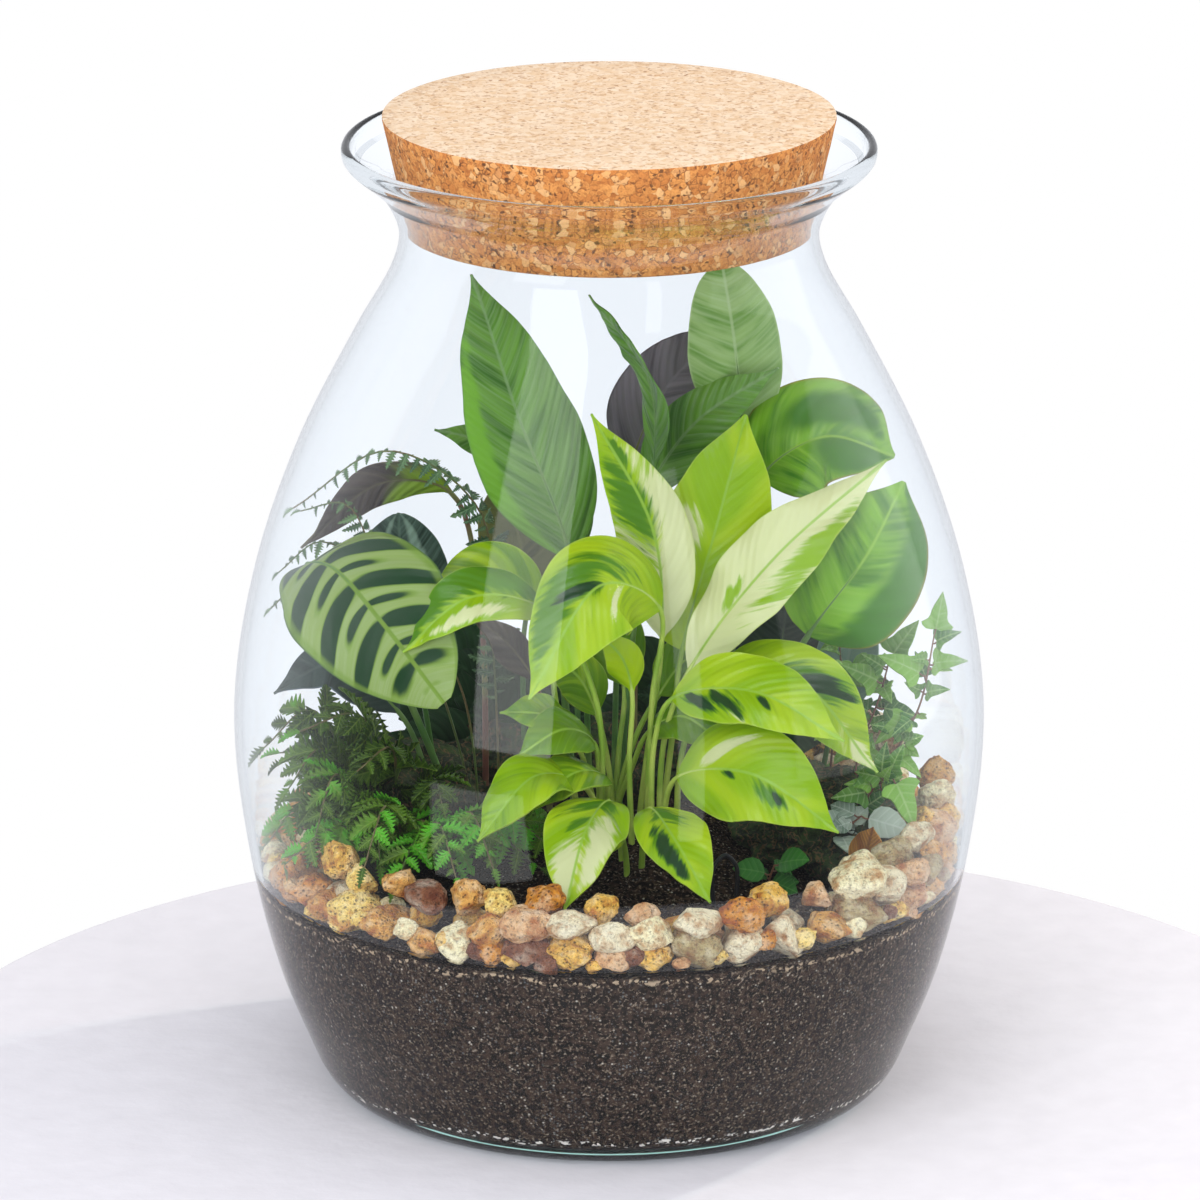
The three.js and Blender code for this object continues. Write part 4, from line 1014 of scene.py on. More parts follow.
def grow_frond(name, forms, pattern, stalk, slot, hang, wide, thick, dense=1):
    """Fronds from one root: a thin rib with toothed leaflets in pairs, smaller at both ends."""
    pieces = []
    for form in forms:
        draw = dice(form["seed"])
        knots = stem_knots(form)
        spans = len(knots) - 1
        start = (1 + form.get("bare", 1) * 0.8) / spans
        pairs = form["pairs"] * dense
        rib, _ = stretch(knots, 0, 1, 40)
        pieces.append(tubes([[(at, mix(thick, 0.3, i / 40)) for i, (at, _) in enumerate(rib)]],
                            stalk, 6))
        face = Vector(form.get("face", [(0, -0.5, 1)])[0])
        spots, _ = stretch(knots, start, 1, pairs * 2)
        for i in range(pairs):
            swell = math.sin(math.pi * mix(0.25, 0.95, i / (pairs - 1))) ** 0.7
            for turn in (-1, 1):
                at, ahead = spots[2 * i + (turn > 0)]
                side = ahead.cross(face).normalized()
                up = side.cross(ahead)
                reach = form["reach"] * swell * mix(0.8, 1.2, draw())
                if dense > 1:
                    reach *= mix(0.35, 1.15, draw())
                out = (side * turn + ahead * mix(0.45, 0.85, draw()) + Vector((0, 0, -hang))
                       + up * mix(-0.25, 0.2, draw()))
                leaf_face = up + side * mix(-0.4, 0.4, draw())
                tone = mix(0, 0.6, draw()) + form.get("fresh", 0)
                pieces.append(copied_leaf(pattern, at, out, leaf_face, reach,
                                          reach * wide * mix(0.9, 1.15, draw()), tone))
        at, ahead = spots[-1]
        pieces.append(copied_leaf(pattern, at, ahead, ahead.cross(face).cross(ahead),
                                  form["reach"] * 0.55, form["reach"] * 0.3, draw()))
    grown(pieces, name, slot)


def grow_creeper(name, form, pattern, stalk, slot, extra):
    """A wiry stem with small leaves on short stalks."""
    draw = dice(form["seed"])
    knots = stem_knots(form)
    spans = len(knots) - 1
    thin = 0.6
    path, _ = stretch(knots, 0, 1, 36)
    lines = [[(at, thin * mix(1.1, 0.6, i / 36)) for i, (at, _) in enumerate(path)]]
    growth = [dict(leaf) for leaf in form["leaves"]]
    for i in range(extra):
        growth.append({
            "along": mix(0.25, 0.98, (i + draw()) / extra), "size": mix(6, 12, draw()),
            "ahead": (mix(-1, 1, draw()), mix(-0.8, 0.5, draw()), mix(-0.6, 0.8, draw())),
        })
    pieces = []
    for leaf in growth:
        at = curve_point(knots, mix(1 / spans, 1, min(leaf["along"], 1)))
        ahead = Vector(leaf["ahead"]).normalized()
        size = leaf["size"]
        base = at + ahead * size * 0.22
        face = Vector(leaf.get("face", (0, -0.8, 0.6)))
        face += Vector((draw() - 0.5, 0, draw() - 0.5)) * 0.9
        pieces.append(copied_leaf(pattern, base, ahead, face, size * 0.95,
                                  size * mix(0.85, 1.05, draw()), draw()))
        bend = at + ahead * size * 0.12 - Vector((0, 0, 0.5))
        lines.append([(at, thin * 0.7), (bend, thin * 0.6), (base + ahead * 0.8, thin * 0.5)])
    pieces.insert(0, tubes(lines, stalk, 6))
    grown(pieces, name, slot)


def cushion(name, centre, half_sizes, finish, seed):
    """A low lumpy mound of moss and roots, sunk in the soil."""
    clear_selection()
    bpy.ops.mesh.primitive_ico_sphere_add(subdivisions=6, radius=1)
    piece = bpy.context.object
    for vertex in piece.data.vertices:
        point = vertex.co.copy()
        swell = 1 + 0.3 * noise.noise(point * 1.8 + Vector((seed, 0, 0)))
        swell += 0.12 * noise.noise(point * 6 + Vector((seed, 0, 0)))
        swell += 0.05 * noise.noise(point * 18)
        vertex.co = [MM * (c + p * h * swell) for c, p, h in zip(centre, point, half_sizes)]
    piece.data.materials.append(finish)
    rounded_off(piece, 70)
    dress(piece, name, slot="soil")


def grow_clump(name, form, materials, stalk, slot, seed):
    """Low foliage at the back: several blades from one crown, with shorter ones between."""
    draw = dice(seed)
    pieces = []
    bottom, mouth = rooted(form["root"])
    tips = list(form["tips"])
    for x, y, z, wide in form["tips"]:
        tips.append((x + mix(8, 16, draw()), y - mix(6, 14, draw()), z - mix(8, 20, draw()),
                     wide * 0.85))
        tips.append((x - mix(8, 16, draw()), y - mix(14, 26, draw()), z - mix(22, 34, draw()),
                     wide * 0.8))
    for x, y, z, wide in tips:
        rise = z - mouth.z

        def out(part, up):
            return Vector((mix(mouth.x, x, part), mix(mouth.y, y, part), mouth.z + rise * up))

        knots = [bottom, mouth, out(0.22, 0.45), out(0.6, 0.94), out(1, 1)]
        blade = {"wide": wide, "face": [(mix(-0.3, 0.3, draw()), -1, mix(0.1, 0.6, draw()))]}
        pieces.append(leaf_blade(blade, knots, materials, 10 * draw()))
        pieces.append(leaf_stalk(blade, knots, stalk))
    grown(pieces, name, slot)


# ---------------------------------------------------------------- the planting

# Places and sizes are in millimetres. A leaf's way runs from its stalk to its tip, over the last
# two stretches as the blade unless "blade" says more. "face" is where its upper side looks at the
# base and at the tip. Its marks, "dark", "mid" and "pale", are ellipses: the share of the length
# and of the half width where each lies, and its half sizes there.
# A leaf's tone deepens it towards mid green: painted shade, highest on blades lying in shade.
LIME_LEAVES = {
    "tall": {
        "root": (12, -12), "way": [(16, -15, 145), (21, -17, 188), (17, -24, 235), (-7, -32, 284)],
        "wide": 30, "wave": 1.5, "fold": 0.1,
        "pale": [(0.32, 0.65, 0.46, 0.7), (0.08, -0.1, 0.28, 1.4)],
        "mid": [(0.62, -0.35, 0.2, 0.5), (0.82, 0.2, 0.08, 0.3)],
    },
    "broad": {
        "root": (21, -13), "way": [(25, -10, 142), (29, -12, 181), (42, -10, 230), (54, -5, 276)],
        "wide": 47, "kind": "broad", "pale": [(0.5, -0.5, 0.08, 0.25)],
    },
    "cream": {
        "root": (20, -26),
        "way": [(22, -25, 148), (32, -28, 178), (65, -26, 223), (109, -14, 260)], "wide": 32,
        "face": [(-0.2, -1, 0.3), (-0.4, -0.8, 0.6)], "wave": 2, "ruffle": 7,
        "pale": [(0.5, 0.0, 1.6, 3.0)], "mid": [(0.6, 0.75, 0.26, 0.4), (0.3, -0.2, 0.05, 0.16)],
    },
    # arch_left's small pale mark is a painted highlight in the cream colour, not variegation.
    "arch_left": {
        "root": (15, -20),
        "way": [(17, -25, 164), (20, -35, 205), (-4, -60, 222), (-31, -82, 183)], "wide": 43,
        "face": [(0.5, -0.8, 0.5), (-0.2, -0.8, 0.6)], "fold": 0.12, "mid": [(0.6, 0.5, 0.3, 0.4)],
        "dark": [(0.5, 0.2, 0.04, 0.3)], "pale": [(0.42, -0.4, 0.03, 0.3)], "tone": 0.06,
    },
    "far_left": {
        "root": (-3, -26),
        "way": [(-5, -30, 165), (-25, -47, 208), (-54, -62, 218), (-80, -69, 198)], "wide": 27,
        "face": [(0.3, -0.6, 0.8), (-0.3, -0.6, 0.8)], "mid": [(0.5, 0.7, 0.9, 0.6)],
        "pale": [(0.6, -0.6, 0.3, 0.25)],
    },
    "mid_left": {
        "root": (-12, -8),
        "way": [(-21, -18, 160), (-27, -24, 201), (-47, -26, 219), (-71, -30, 209)], "wide": 24,
        "face": [(0.3, -0.6, 0.8), (-0.2, -0.6, 0.8)], "tone": 0.25,
    },
    "right": {
        "root": (17, -33), "way": [(18, -37, 151), (25, -47, 172), (57, -67, 181), (91, -85, 167)],
        "wide": 34, "face": [(-0.3, -0.7, 0.8), (0.1, -0.7, 0.7)],
        "dark": [(0.2, 0.45, 0.05, 0.3), (0.38, 0.45, 0.06, 0.34), (0.56, 0.25, 0.03, 0.16)],
        "pale": [(0.3, 0.2, 0.03, 0.2), (0.46, 0.75, 0.04, 0.22)],
    },
    "low_right": {
        "root": (23, -39), "way": [(22, -43, 124), (27, -52, 141), (56, -75, 150), (89, -92, 132)],
        "wide": 40, "face": [(-0.3, -0.7, 0.7), (0.1, -0.8, 0.6)],
        "dark": [(0.36, 0.1, 0.03, 0.09), (0.66, 0.28, 0.035, 0.12)],
        "mid": [(0.62, 0.3, 0.1, 0.22)], "pale": [(0.3, -0.4, 0.05, 0.3)],
    },
    "back_right": {
        "root": (27, -20),
        "way": [(29, -20, 140), (40, -24, 170), (75, -40, 176), (105, -56, 144)], "wide": 34,
        "face": [(-0.3, -0.6, 0.8), (0.3, -0.7, 0.6)], "dark": [(0.56, -0.35, 0.07, 0.45)],
        "mid": [(0.5, -0.2, 0.16, 0.5)], "pale": [(0.93, 0.1, 0.16, 0.9)], "tone": 0.08,
    },
    "front_left": {
        "root": (5, -40), "way": [(3, -47, 120), (0, -58, 133), (-9, -88, 131), (-17, -122, 110)],
        "wide": 33, "face": [(0, -0.3, 1), (0, -0.8, 0.6)],
        "mid": [(0.4, 0.3, 0.06, 0.2), (0.1, 0, 0.08, 0.7)],
        "pale": [(0.75, 0.35, 0.26, 0.5), (0.62, -0.55, 0.3, 0.4)],
    },
    "front_right": {
        "root": (13, -46),
        "way": [(14, -52, 121), (16, -61, 131), (26, -92, 128), (39, -118, 112)], "wide": 28,
        "face": [(0, -0.3, 1), (0.1, -0.8, 0.6)], "dark": [(0.6, 0.45, 0.2, 0.26)],
        "mid": [(0.2, -0.2, 0.12, 0.4)],
    },
    "low_left": {
        "root": (-2, -34),
        "way": [(-5, -39, 125), (-13, -50, 139), (-30, -68, 146), (-51, -87, 126)], "wide": 28,
        "face": [(0.1, -0.5, 0.9), (-0.2, -0.7, 0.7)], "tone": 0.12,
    },
    "curl": {
        "root": (7, -49), "way": [(6, -53, 113), (4, -60, 120), (-2, -70, 121), (-9, -80, 116)],
        "wide": 15, "face": [(0, -0.3, 1), (-0.2, -0.6, 0.7)], "tone": 0.2,
    },
    # The shade leaves and their extra blades take a high tone: painted shade for blades lying
    # behind.
    "shade_a": {
        "root": (2, -3), "way": [(-1, -5, 135), (-5, -6, 152), (-14, -8, 170), (-31, -10, 177)],
        "wide": 20, "face": [(0.1, -0.5, 0.9), (-0.2, -0.7, 0.7)], "tone": 0.35,
        "with": [
            {"way": [(4, 1, 135), (6, 8, 160), (-2, 13, 185), (-12, 14, 200)], "wide": 26,
             "face": [(0.1, -1, 0.3)], "tone": 0.6},
            {"way": [(10, -4, 140), (20, -5, 160), (34, -4, 176), (50, -8, 176)], "wide": 24,
             "face": [(-0.2, -0.6, 0.8)], "tone": 0.55},
            {"way": [(9, -8, 130), (16, -16, 148), (30, -28, 158), (46, -36, 148)], "wide": 24,
             "face": [(-0.2, -0.6, 0.8)], "tone": 0.5},
        ],
    },
    "shade_b": {
        "root": (-4, -18),
        "way": [(-8, -20, 128), (-12, -26, 144), (-25, -36, 161), (-43, -44, 165)], "wide": 22,
        "face": [(0.1, -0.5, 0.9), (-0.2, -0.7, 0.7)], "tone": 0.35,
        "with": [
            {"way": [(-4, -24, 128), (-6, -30, 148), (-18, -44, 158), (-36, -54, 150)], "wide": 24,
             "tone": 0.45},
            {"way": [(-1, -27, 120), (-2, -37, 136), (-14, -54, 143), (-30, -66, 132)], "wide": 25,
             "tone": 0.3},
        ],
    },
    "young": {
        "root": (9, -28), "way": [(8, -30, 140), (9, -34, 171), (5, -38, 186), (-4, -42, 197)],
        "wide": 15, "kind": "lance",
    },
}

DARK_LEAVES = {
    # The tall leaf's pale mark is a painted highlight: a yellow-green strip along its lit edge.
    "tall": {
        "root": (-14, 14), "way": [(-19, 8, 180), (-16, 4, 214), (-37, 0, 277), (-54, -4, 334)],
        "wide": 46, "stem": 1.6, "face": [(0.1, -1, 0.2)], "pale": [(0.45, -0.85, 0.5, 0.2)],
    },
    "edge": {
        "root": (4, 6), "way": [(12, 8, 205), (18, 9, 249), (16, 5, 287), (-8, 0, 324)],
        "wide": 24, "kind": "lance", "face": [(-0.9, -0.5, 0.2)],
    },
    "right": {
        "root": (2, 20), "way": [(6, 22, 205), (14, 23, 233), (34, 20, 265), (67, 14, 290)],
        "wide": 25, "face": [(-0.3, -1, 0.3)],
    },
    "slim": {
        "root": (-8, 28), "way": [(-10, 28, 172), (-12, 28, 206), (-11, 28, 235), (-16, 24, 263)],
        "wide": 20, "kind": "lance", "face": [(-0.8, -0.6, 0.1)],
    },
    "left_tip": {
        "root": (-13, 41), "way": [(-15, 45, 195), (-24, 45, 225), (-44, 42, 248), (-70, 37, 258)],
        "wide": 20, "face": [(0.2, -0.7, 0.6)],
    },
}

OTHER_LEAVES = {
    "top_back_leaf": {
        "look": "pale", "root": (42, 36), "kind": "round", "stem": 1.5, "wide": 37,
        "way": [(50, 33, 215), (53, 30, 258), (50, 22, 297), (44, 12, 338)],
    },
    "violet_back_leaf": {
        "look": "violet", "root": (10, 52), "stem": 1.5, "wide": 37,
        "way": [(10, 58, 200), (9, 58, 235), (24, 53, 272), (50, 43, 299)],
    },
    # Its dark marks paint the shade over the outer part of the blade, towards its tip.
    "broad_leaf_upper": {
        "look": "broad", "root": (44, 20), "kind": "broad", "stem": 1.5, "wide": 52,
        "face": [(-0.2, -0.8, 0.5)],
        "way": [(54, 14, 214), (60, 14, 244), (86, 12, 262), (113, 2, 257)],
        "dark": [(0.75, 0.4, 0.3, 0.5), (0.6, -0.5, 0.3, 0.3)],
    },
    "broad_leaf_lower": {
        "look": "broad", "root": (52, 0), "kind": "broad", "stem": 1.6, "wide": 54,
        "face": [(-0.1, -1, 0.2)],
        "way": [(64, -6, 155), (79, -12, 187), (102, -16, 222), (116, -10, 250)],
        "dark": [(0.55, 0.8, 0.6, 0.36)],
    },
    "broad_leaf_dark": {
        "look": "slate", "root": (56, 40), "kind": "broad", "stem": 1.5, "wide": 44,
        "face": [(0, -1, 0.2)],
        "way": [(60, 44, 122), (66, 45, 141), (71, 47, 172), (74, 46, 203)],
    },
    "broad_leaf_teal": {
        "look": "teal", "root": (84, 40), "kind": "broad", "wide": 26, "face": [(-0.2, -1, 0.2)],
        "way": [(88, 38, 119), (92, 36, 140), (98, 33, 170), (100, 28, 195)],
    },
    "striped_leaf_front": {
        "look": "striped", "root": (-62, 14), "stem": 1.5, "blade": 3, "wide": 60,
        "face": [(-0.1, -0.5, 0.9), (-0.2, -1, 0.2)], "kind": "round",
        "way": [(-88, 10, 168), (-115, 6, 203), (-119, -14, 217), (-107, -38, 222),
                (-88, -60, 207), (-64, -74, 179)],
        "fold": 0.1, "cup": -0.2, "ruffle": 1.5,
    },
    "striped_leaf_back": {
        "look": "banded", "root": (-68, 24), "face": [(0.1, -0.8, 0.5)],
        "way": [(-76, 18, 159), (-80, 16, 184), (-83, 12, 210), (-84, 7, 232)], "wide": 36,
        "kind": "round", "pale": [(0.6, 0.4, 0.45, 0.16), (0.6, -0.4, 0.45, 0.14)],
    },
    "striped_leaf_purple": {
        "look": "purple", "root": (-50, 26), "wide": 17, "twist": 60,
        "face": [(0.3, -0.9, -0.4), (0.2, -0.9, -0.4)],
        "way": [(-53, 28, 200), (-64, 24, 236), (-92, 14, 242), (-122, -2, 220)],
        "pale": [(0.12, -0.2, 0.2, 1.2)],
    },
    "striped_leaf_olive": {
        "look": "olive", "root": (-34, 48), "face": [(0.1, -1, 0.2)],
        "way": [(-35, 51, 162), (-33, 53, 185), (-37, 54, 209), (-43, 52, 232)], "wide": 34,
        "kind": "round",
    },
    "striped_leaf_slate": {
        "look": "slate", "root": (-70, 6), "face": [(0, -0.7, 0.7)],
        "way": [(-76, 14, 128), (-85, 16, 146), (-111, 18, 165), (-135, 14, 154)], "wide": 24,
    },
    "striped_leaf_red": {
        "look": "purple", "root": (-24, 12), "face": [(0, -0.7, 0.7)],
        "way": [(-26, 10, 144), (-30, 6, 162), (-42, 0, 181), (-55, -4, 192)], "wide": 15,
        "kind": "lance",
    },
    "dead_leaf": {
        "look": "dead", "root": (97, -46), "wide": 15, "kind": "broad", "stem": 0.9,
        "face": [(-0.3, -1, 0.3)],
        "way": [(98, -47, 97), (99, -48, 102), (102, -50, 111), (104, -51, 120)],
    },
}

ARCHING_FRONDS = {
    "high": {
        "root": (-44, 4), "way": [(-46, 4, 170), (-52, 0, 236), (-88, -8, 262), (-124, -14, 240)],
        "reach": 9, "pairs": 11, "seed": 11,
    },
    "middle": {
        "root": (-52, -2),
        "way": [(-60, -4, 165), (-88, -6, 205), (-104, -8, 240), (-122, -4, 236)], "reach": 8,
        "pairs": 7, "seed": 12, "bare": 2,
    },
    "low": {
        "root": (-54, 12),
        "way": [(-70, 18, 160), (-98, 20, 205), (-116, 14, 218), (-132, 8, 207)], "reach": 7,
        "pairs": 6, "seed": 13, "bare": 2,
    },
    "outer": {
        "root": (-78, 14),
        "way": [(-92, 22, 140), (-112, 26, 175), (-126, 22, 196), (-136, 14, 190)], "reach": 7,
        "pairs": 6, "seed": 14, "bare": 2,
    },
}

FERN_FRONDS = {
    "left": {
        "root": (-94, -12), "way": [(-100, -12, 122), (-119, -12, 156), (-137, -18, 142)],
        "reach": 18, "pairs": 8, "seed": 21,
    },
    "front_left": {
        "root": (-93, -22), "way": [(-97, -28, 114), (-108, -46, 140), (-116, -62, 116)],
        "reach": 16, "pairs": 8, "seed": 22, "fresh": 0.25,
    },
    "front": {
        "root": (-80, -32), "way": [(-82, -40, 113), (-88, -68, 134), (-95, -91, 117)],
        "reach": 15, "pairs": 8, "seed": 23, "fresh": 0.4,
    },
    "right": {
        "root": (-68, -30), "way": [(-65, -37, 111), (-54, -61, 129), (-45, -84, 114)],
        "reach": 14, "pairs": 8, "seed": 24, "fresh": 0.5,
    },
    "upper": {
        "root": (-84, -5), "way": [(-88, -9, 122), (-100, -24, 158), (-122, -34, 154)],
        "reach": 17, "pairs": 8, "seed": 25,
    },
}

CLUMPS = {
    "left": {
        "root": (-44, 66),
        "tips": [(-98, 62, 140, 36), (-78, 76, 160, 38), (-46, 80, 156, 40), (-18, 72, 150, 36)],
    },
    "right": {
        "root": (30, 72),
        "tips": [(2, 78, 152, 36), (26, 86, 160, 38), (52, 80, 156, 38), (78, 66, 138, 34)],
    },
}

CREEPER_STEMS = {
    "tall": {
        "root": (104, -6), "way": [(112, -8, 130), (124, -10, 158), (129, -10, 186)], "seed": 31,
        "leaves": [
            {"along": 1, "ahead": (0.2, 0, 1), "size": 15},
            {"along": 0.86, "ahead": (0.6, -0.5, 0.3), "size": 14},
            {"along": 0.8, "ahead": (-1, -0.2, 0.6), "size": 18},
            {"along": 0.6, "ahead": (-0.9, -0.3, -0.4), "size": 16},
            {"along": 0.45, "ahead": (0.7, 0.3, 0.2), "size": 10},
        ],
    },
    "middle": {
        "root": (98, 6), "way": [(100, 6, 130), (108, 4, 155), (112, 2, 172)], "seed": 32,
        "leaves": [
            {"along": 1, "ahead": (0.5, -0.2, 0.9), "size": 17},
            {"along": 0.8, "ahead": (-0.8, -0.3, 0.5), "size": 16},
            {"along": 0.62, "ahead": (0.9, 0.1, -0.2), "size": 16},
            {"along": 0.45, "ahead": (-0.7, -0.3, -0.5), "size": 14},
        ],
    },
    "back": {
        "root": (88, 16), "way": [(90, 16, 130), (93, 14, 160), (92, 12, 184)], "seed": 33,
        "leaves": [
            {"along": 1, "ahead": (0.3, 0, 1), "size": 13},
            {"along": 0.75, "ahead": (0.8, -0.2, -0.3), "size": 20},
            {"along": 0.65, "ahead": (-0.8, -0.2, 0.5), "size": 12},
            {"along": 0.5, "ahead": (-0.4, -0.6, -0.3), "size": 13},
        ],
    },
    "low": {
        "root": (96, -18), "way": [(99, -20, 112), (106, -24, 128), (112, -28, 134)], "seed": 34,
        "leaves": [
            {"along": 1, "ahead": (0.4, -0.5, -0.7), "size": 20},
            {"along": 0.6, "ahead": (-0.8, -0.4, 0), "size": 14},
            {"along": 0.8, "ahead": (0, -0.3, 1), "size": 14},
        ],
    },
}

SMALL_LOOKS = {          # the deep, light, vein and fresh colours, and the roughness
    "fern_green": (("#2a4806", "#688f16", "#86a03c", "#5cba1c"), 0.4),
    "frond_green": (("#3d6240", "#7c9c62", "#8fae7c", "#7c9c62"), 0.45),
    "creeper_leaf": (("#3f7a2c", "#8cbd4a", "#b3d083", "#8cbd4a"), 0.38),
    "silver_leaf": (("#6f8a70", "#c5d0bd", "#dfe5d8", "#c5d0bd"), 0.5),
    "round_leaf": (("#1f4a22", "#3f8030", "#5f9a4a", "#3f8030"), 0.35),
}
FERN_TURNS = ((34, 0.82), (-38, 0.7), (75, 0.6))     # a fern's other fronds: degrees, height
MOSS = {                 # the middle, half sizes and seed of each cushion
    "left": ((-88, 18, 104), (40, 46, 22), 3),
    "back": ((-10, 62, 106), (70, 34, 22), 8),
    "right": ((84, 2, 104), (30, 40, 20), 5),
}
PIN = SimpleNamespace(feet=((41, -66), (50, -63)), high=20, bend=5, radius=0.9)

SPRIGS = {
    "round_leaved": {
        "root": (62, -56), "way": [(63, -58, 100), (65, -62, 108)], "seed": 41,
        "leaves": [
            {"along": 1, "ahead": (0.5, -0.4, 0.3), "size": 14},
            {"along": 0.7, "ahead": (-0.9, -0.2, 0.3), "size": 13},
            {"along": 0.5, "ahead": (0.7, -0.7, 0), "size": 12},
        ],
    },
    "silver": {
        "root": (88, -27), "way": [(92, -29, 109), (100, -32, 118)], "seed": 42,
        "leaves": [
            {"along": 1, "ahead": (0.8, -0.4, -0.1), "size": 17},
            {"along": 0.7, "ahead": (-0.7, -0.4, 0.4), "size": 12},
            {"along": 0.5, "ahead": (0.2, -0.9, 0), "size": 13},
        ],
    },
}

# ---------------------------------------------------------------- pebbles

LEAF_TIPS = (-98, -72)   # where tips of the front leaves reach the pebbles, in degrees
PEBBLE = SimpleNamespace(arcs=5, edge=2.2, row=10, seeds=(56, 85, 79, 10, 67), run=128, lap=0.79)
ROCKS = [  # colour, share at the front and left, share at the right, how knobbly
    ("#fbe9b8", 0.15, 0.22, 0.4), ("#f0dcb4", 0.1, 0.14, 0.25), ("#f6bf52", 0.2, 0.08, 1.0),
    ("#d98a1a", 0.14, 0.06, 1.1), ("#e5a650", 0.13, 0.16, 0.9), ("#8a5230", 0.06, 0.05, 0.7),
    ("#e4b07c", 0.04, 0.15, 0.5), ("#b8a06e", 0.03, 0.1, 0.4), ("#ffd670", 0.15, 0.04, 1.0),
]


def pick_rock(draw, rightward):
    """A kind of rock, drawn by the shares at this side of the jar."""
    goal = draw()
    for colour, left, right, knobbly in ROCKS:
        goal -= mix(left, right, rightward)
        if goal <= 0:
            break
    return hex_colour(colour), knobbly


def stone_points(ball, half_sizes, draw, knobbly):
    """A ball of points, cut by a few flat faces, then squashed and made lumpy or pitted."""
    seed = Vector((draw(), draw(), draw())) * 50
    flats = []
    for _ in range(7):
        away = Vector((draw() - 0.5, draw() - 0.5, draw() - 0.5)).normalized()
        flats.append((away, mix(0.52, 0.86, draw())))
    points = []
    for point in ball:
        swell = 1 + 0.14 * noise.noise(point * 1.1 + seed)
        place = point * swell
        for away, limit in flats:
            over = place.dot(away) - limit
            if over > 0:
                place -= away * over * 0.88
        lumps = noise.noise(point * 2.6 + seed)
        knobs = 0.5 - abs(noise.noise(point * 5.5 + seed)) * 2.2
        crumbs = noise.noise(point * 13 + seed)
        place *= 1 + 0.07 * lumps + knobbly * (0.08 * lumps + 0.07 * knobs + 0.035 * crumbs)
        points.append(Vector(p * h for p, h in zip(place, half_sizes)))
    return points


def settled(points, azimuth, inset_by, bed):
    """Moves a stone out against the glass and down to its bed."""
    lowest = min(p.z for p in points)
    points = [p + Vector((0, 0, bed - lowest)) for p in points]
    room = min(math.sqrt(inside_radius(p.z, CLEAR) ** 2 - p.x**2) - p.y for p in points)
    turn = Matrix.Rotation(azimuth - math.pi / 2, 3, "Z")
    return [turn @ (p + Vector((0, room - inset_by, 0))) for p in points]


def pebble_arc(index, ball):
    """The stones of one arc, each as (points, colour, how knobbly)."""
    draw = dice(PEBBLE.seeds[index])
    looks = dice(PEBBLE.seeds[index] + 1000)
    stones = []
    span = 2 * math.pi / PEBBLE.arcs
    bed = SOIL.edge + CLEAR
    start = -math.pi / 2 + (index - 0.5) * span
    last = PEBBLE.row - 1
    widths = [mix(0.75, 1.3, draw()) for _ in range(PEBBLE.row)]
    ends = (1 - PEBBLE.lap) / 2 * (widths[0] + widths[last])
    pitch = (span * PEBBLE.run - PEBBLE.edge) / (sum(widths) * PEBBLE.lap + ends)
    reached = PEBBLE.edge / 2 + widths[0] * pitch / 2

    def skip_corners():
        """Passes over the draws for a plain stone's corners, which these stones don't use."""
        for _ in range(12):
            draw()

    def add(sizes, azimuth, back, low):
        colour, knobbly = pick_rock(looks, smooth(math.cos(azimuth), 0.0, 0.6))
        points = stone_points(ball, [1.05 * s for s in sizes], looks, knobbly)
        stones.append((settled(points, azimuth, back, low), colour, knobbly))

    def filler(size, flat, azimuth, aside, back, low, up, step=1):
        """A smaller stone near this place; every pair is a range that one is drawn from."""
        wide = mix(*size, looks())
        tall = wide * (mix(*flat, looks()) if flat else 0.8)
        add((wide, wide * 0.9, tall), azimuth + mix(*aside, looks()) * step,
            mix(*back, looks()), low + mix(*up, looks()))

    for i, width in enumerate(widths):
        azimuth = start + reached / PEBBLE.run
        half = width * pitch / 2
        tall = mix(0.65, 0.85, draw()) * half
        deep = half * mix(0.85, 1.05, draw())
        skip_corners()
        add((half * 0.9, deep, tall), azimuth, 0, bed)
        degrees = (math.degrees(azimuth) + 180) % 360 - 180
        high = -112 < degrees < 60
        size = mix(8, 10.5, draw()) * mix(0.82, 1.2, looks())
        upper = (size, size * mix(0.8, 0.95, draw()), size * mix(0.62, 0.8, draw()))
        skip_corners()
        if 0 < i < last and (high or i % 2):
            back, low = (mix(0.5, 2.5, draw()), bed + 2 * tall - 4) if high else (half * 1.05, bed)
            add(upper, azimuth, back, low)
        on_leaf_tip = any(abs(degrees - at) <= 5 for at in LEAF_TIPS)
        if -150 < degrees < -8 and not on_leaf_tip:
            filler((6.5, 9), (0.75, 0.95), azimuth, (-0.04, 0.04), (8, 14), bed, (12, 18))
        if -8 < degrees < 62 and 0 < i < last:
            filler((8, 10), (0.75, 0.95), azimuth, (-0.03, 0.03), (2, 5), bed + 2 * tall, (3, 6))
        filler((3.5, 5.5), None, azimuth, (0.4, 0.6), (0, 1.5), bed, (-1, 6), pitch / PEBBLE.run)
        filler((5, 7.5), None, azimuth, (0.3, 0.7), (12, 17), bed, (3, 7), pitch / PEBBLE.run)
        if i < last:
            reached += PEBBLE.lap * pitch * (width + widths[i + 1]) / 2
    return stones


# ---------------------------------------------------------------- settings


def colour_setting(name, about, text):
    """A colour property that starts as an sRGB hex colour."""
    return bpy.props.FloatVectorProperty(
        name=name, description=about, subtype="COLOR", size=4, min=0, max=1,
        default=hex_colour(text),
    )


class JarSettings(bpy.types.PropertyGroup):
    tint: colour_setting("Wall tint", "Colour of thin glass", "#fbfdff")
    depth_tint: colour_setting("Deep tint", "Colour that thick glass tends to", "#8fd6c8")
    depth_density: bpy.props.FloatProperty(
        name="Depth density", description="How fast glass takes its colour with depth",
        default=6.0, min=0, max=100,
    )


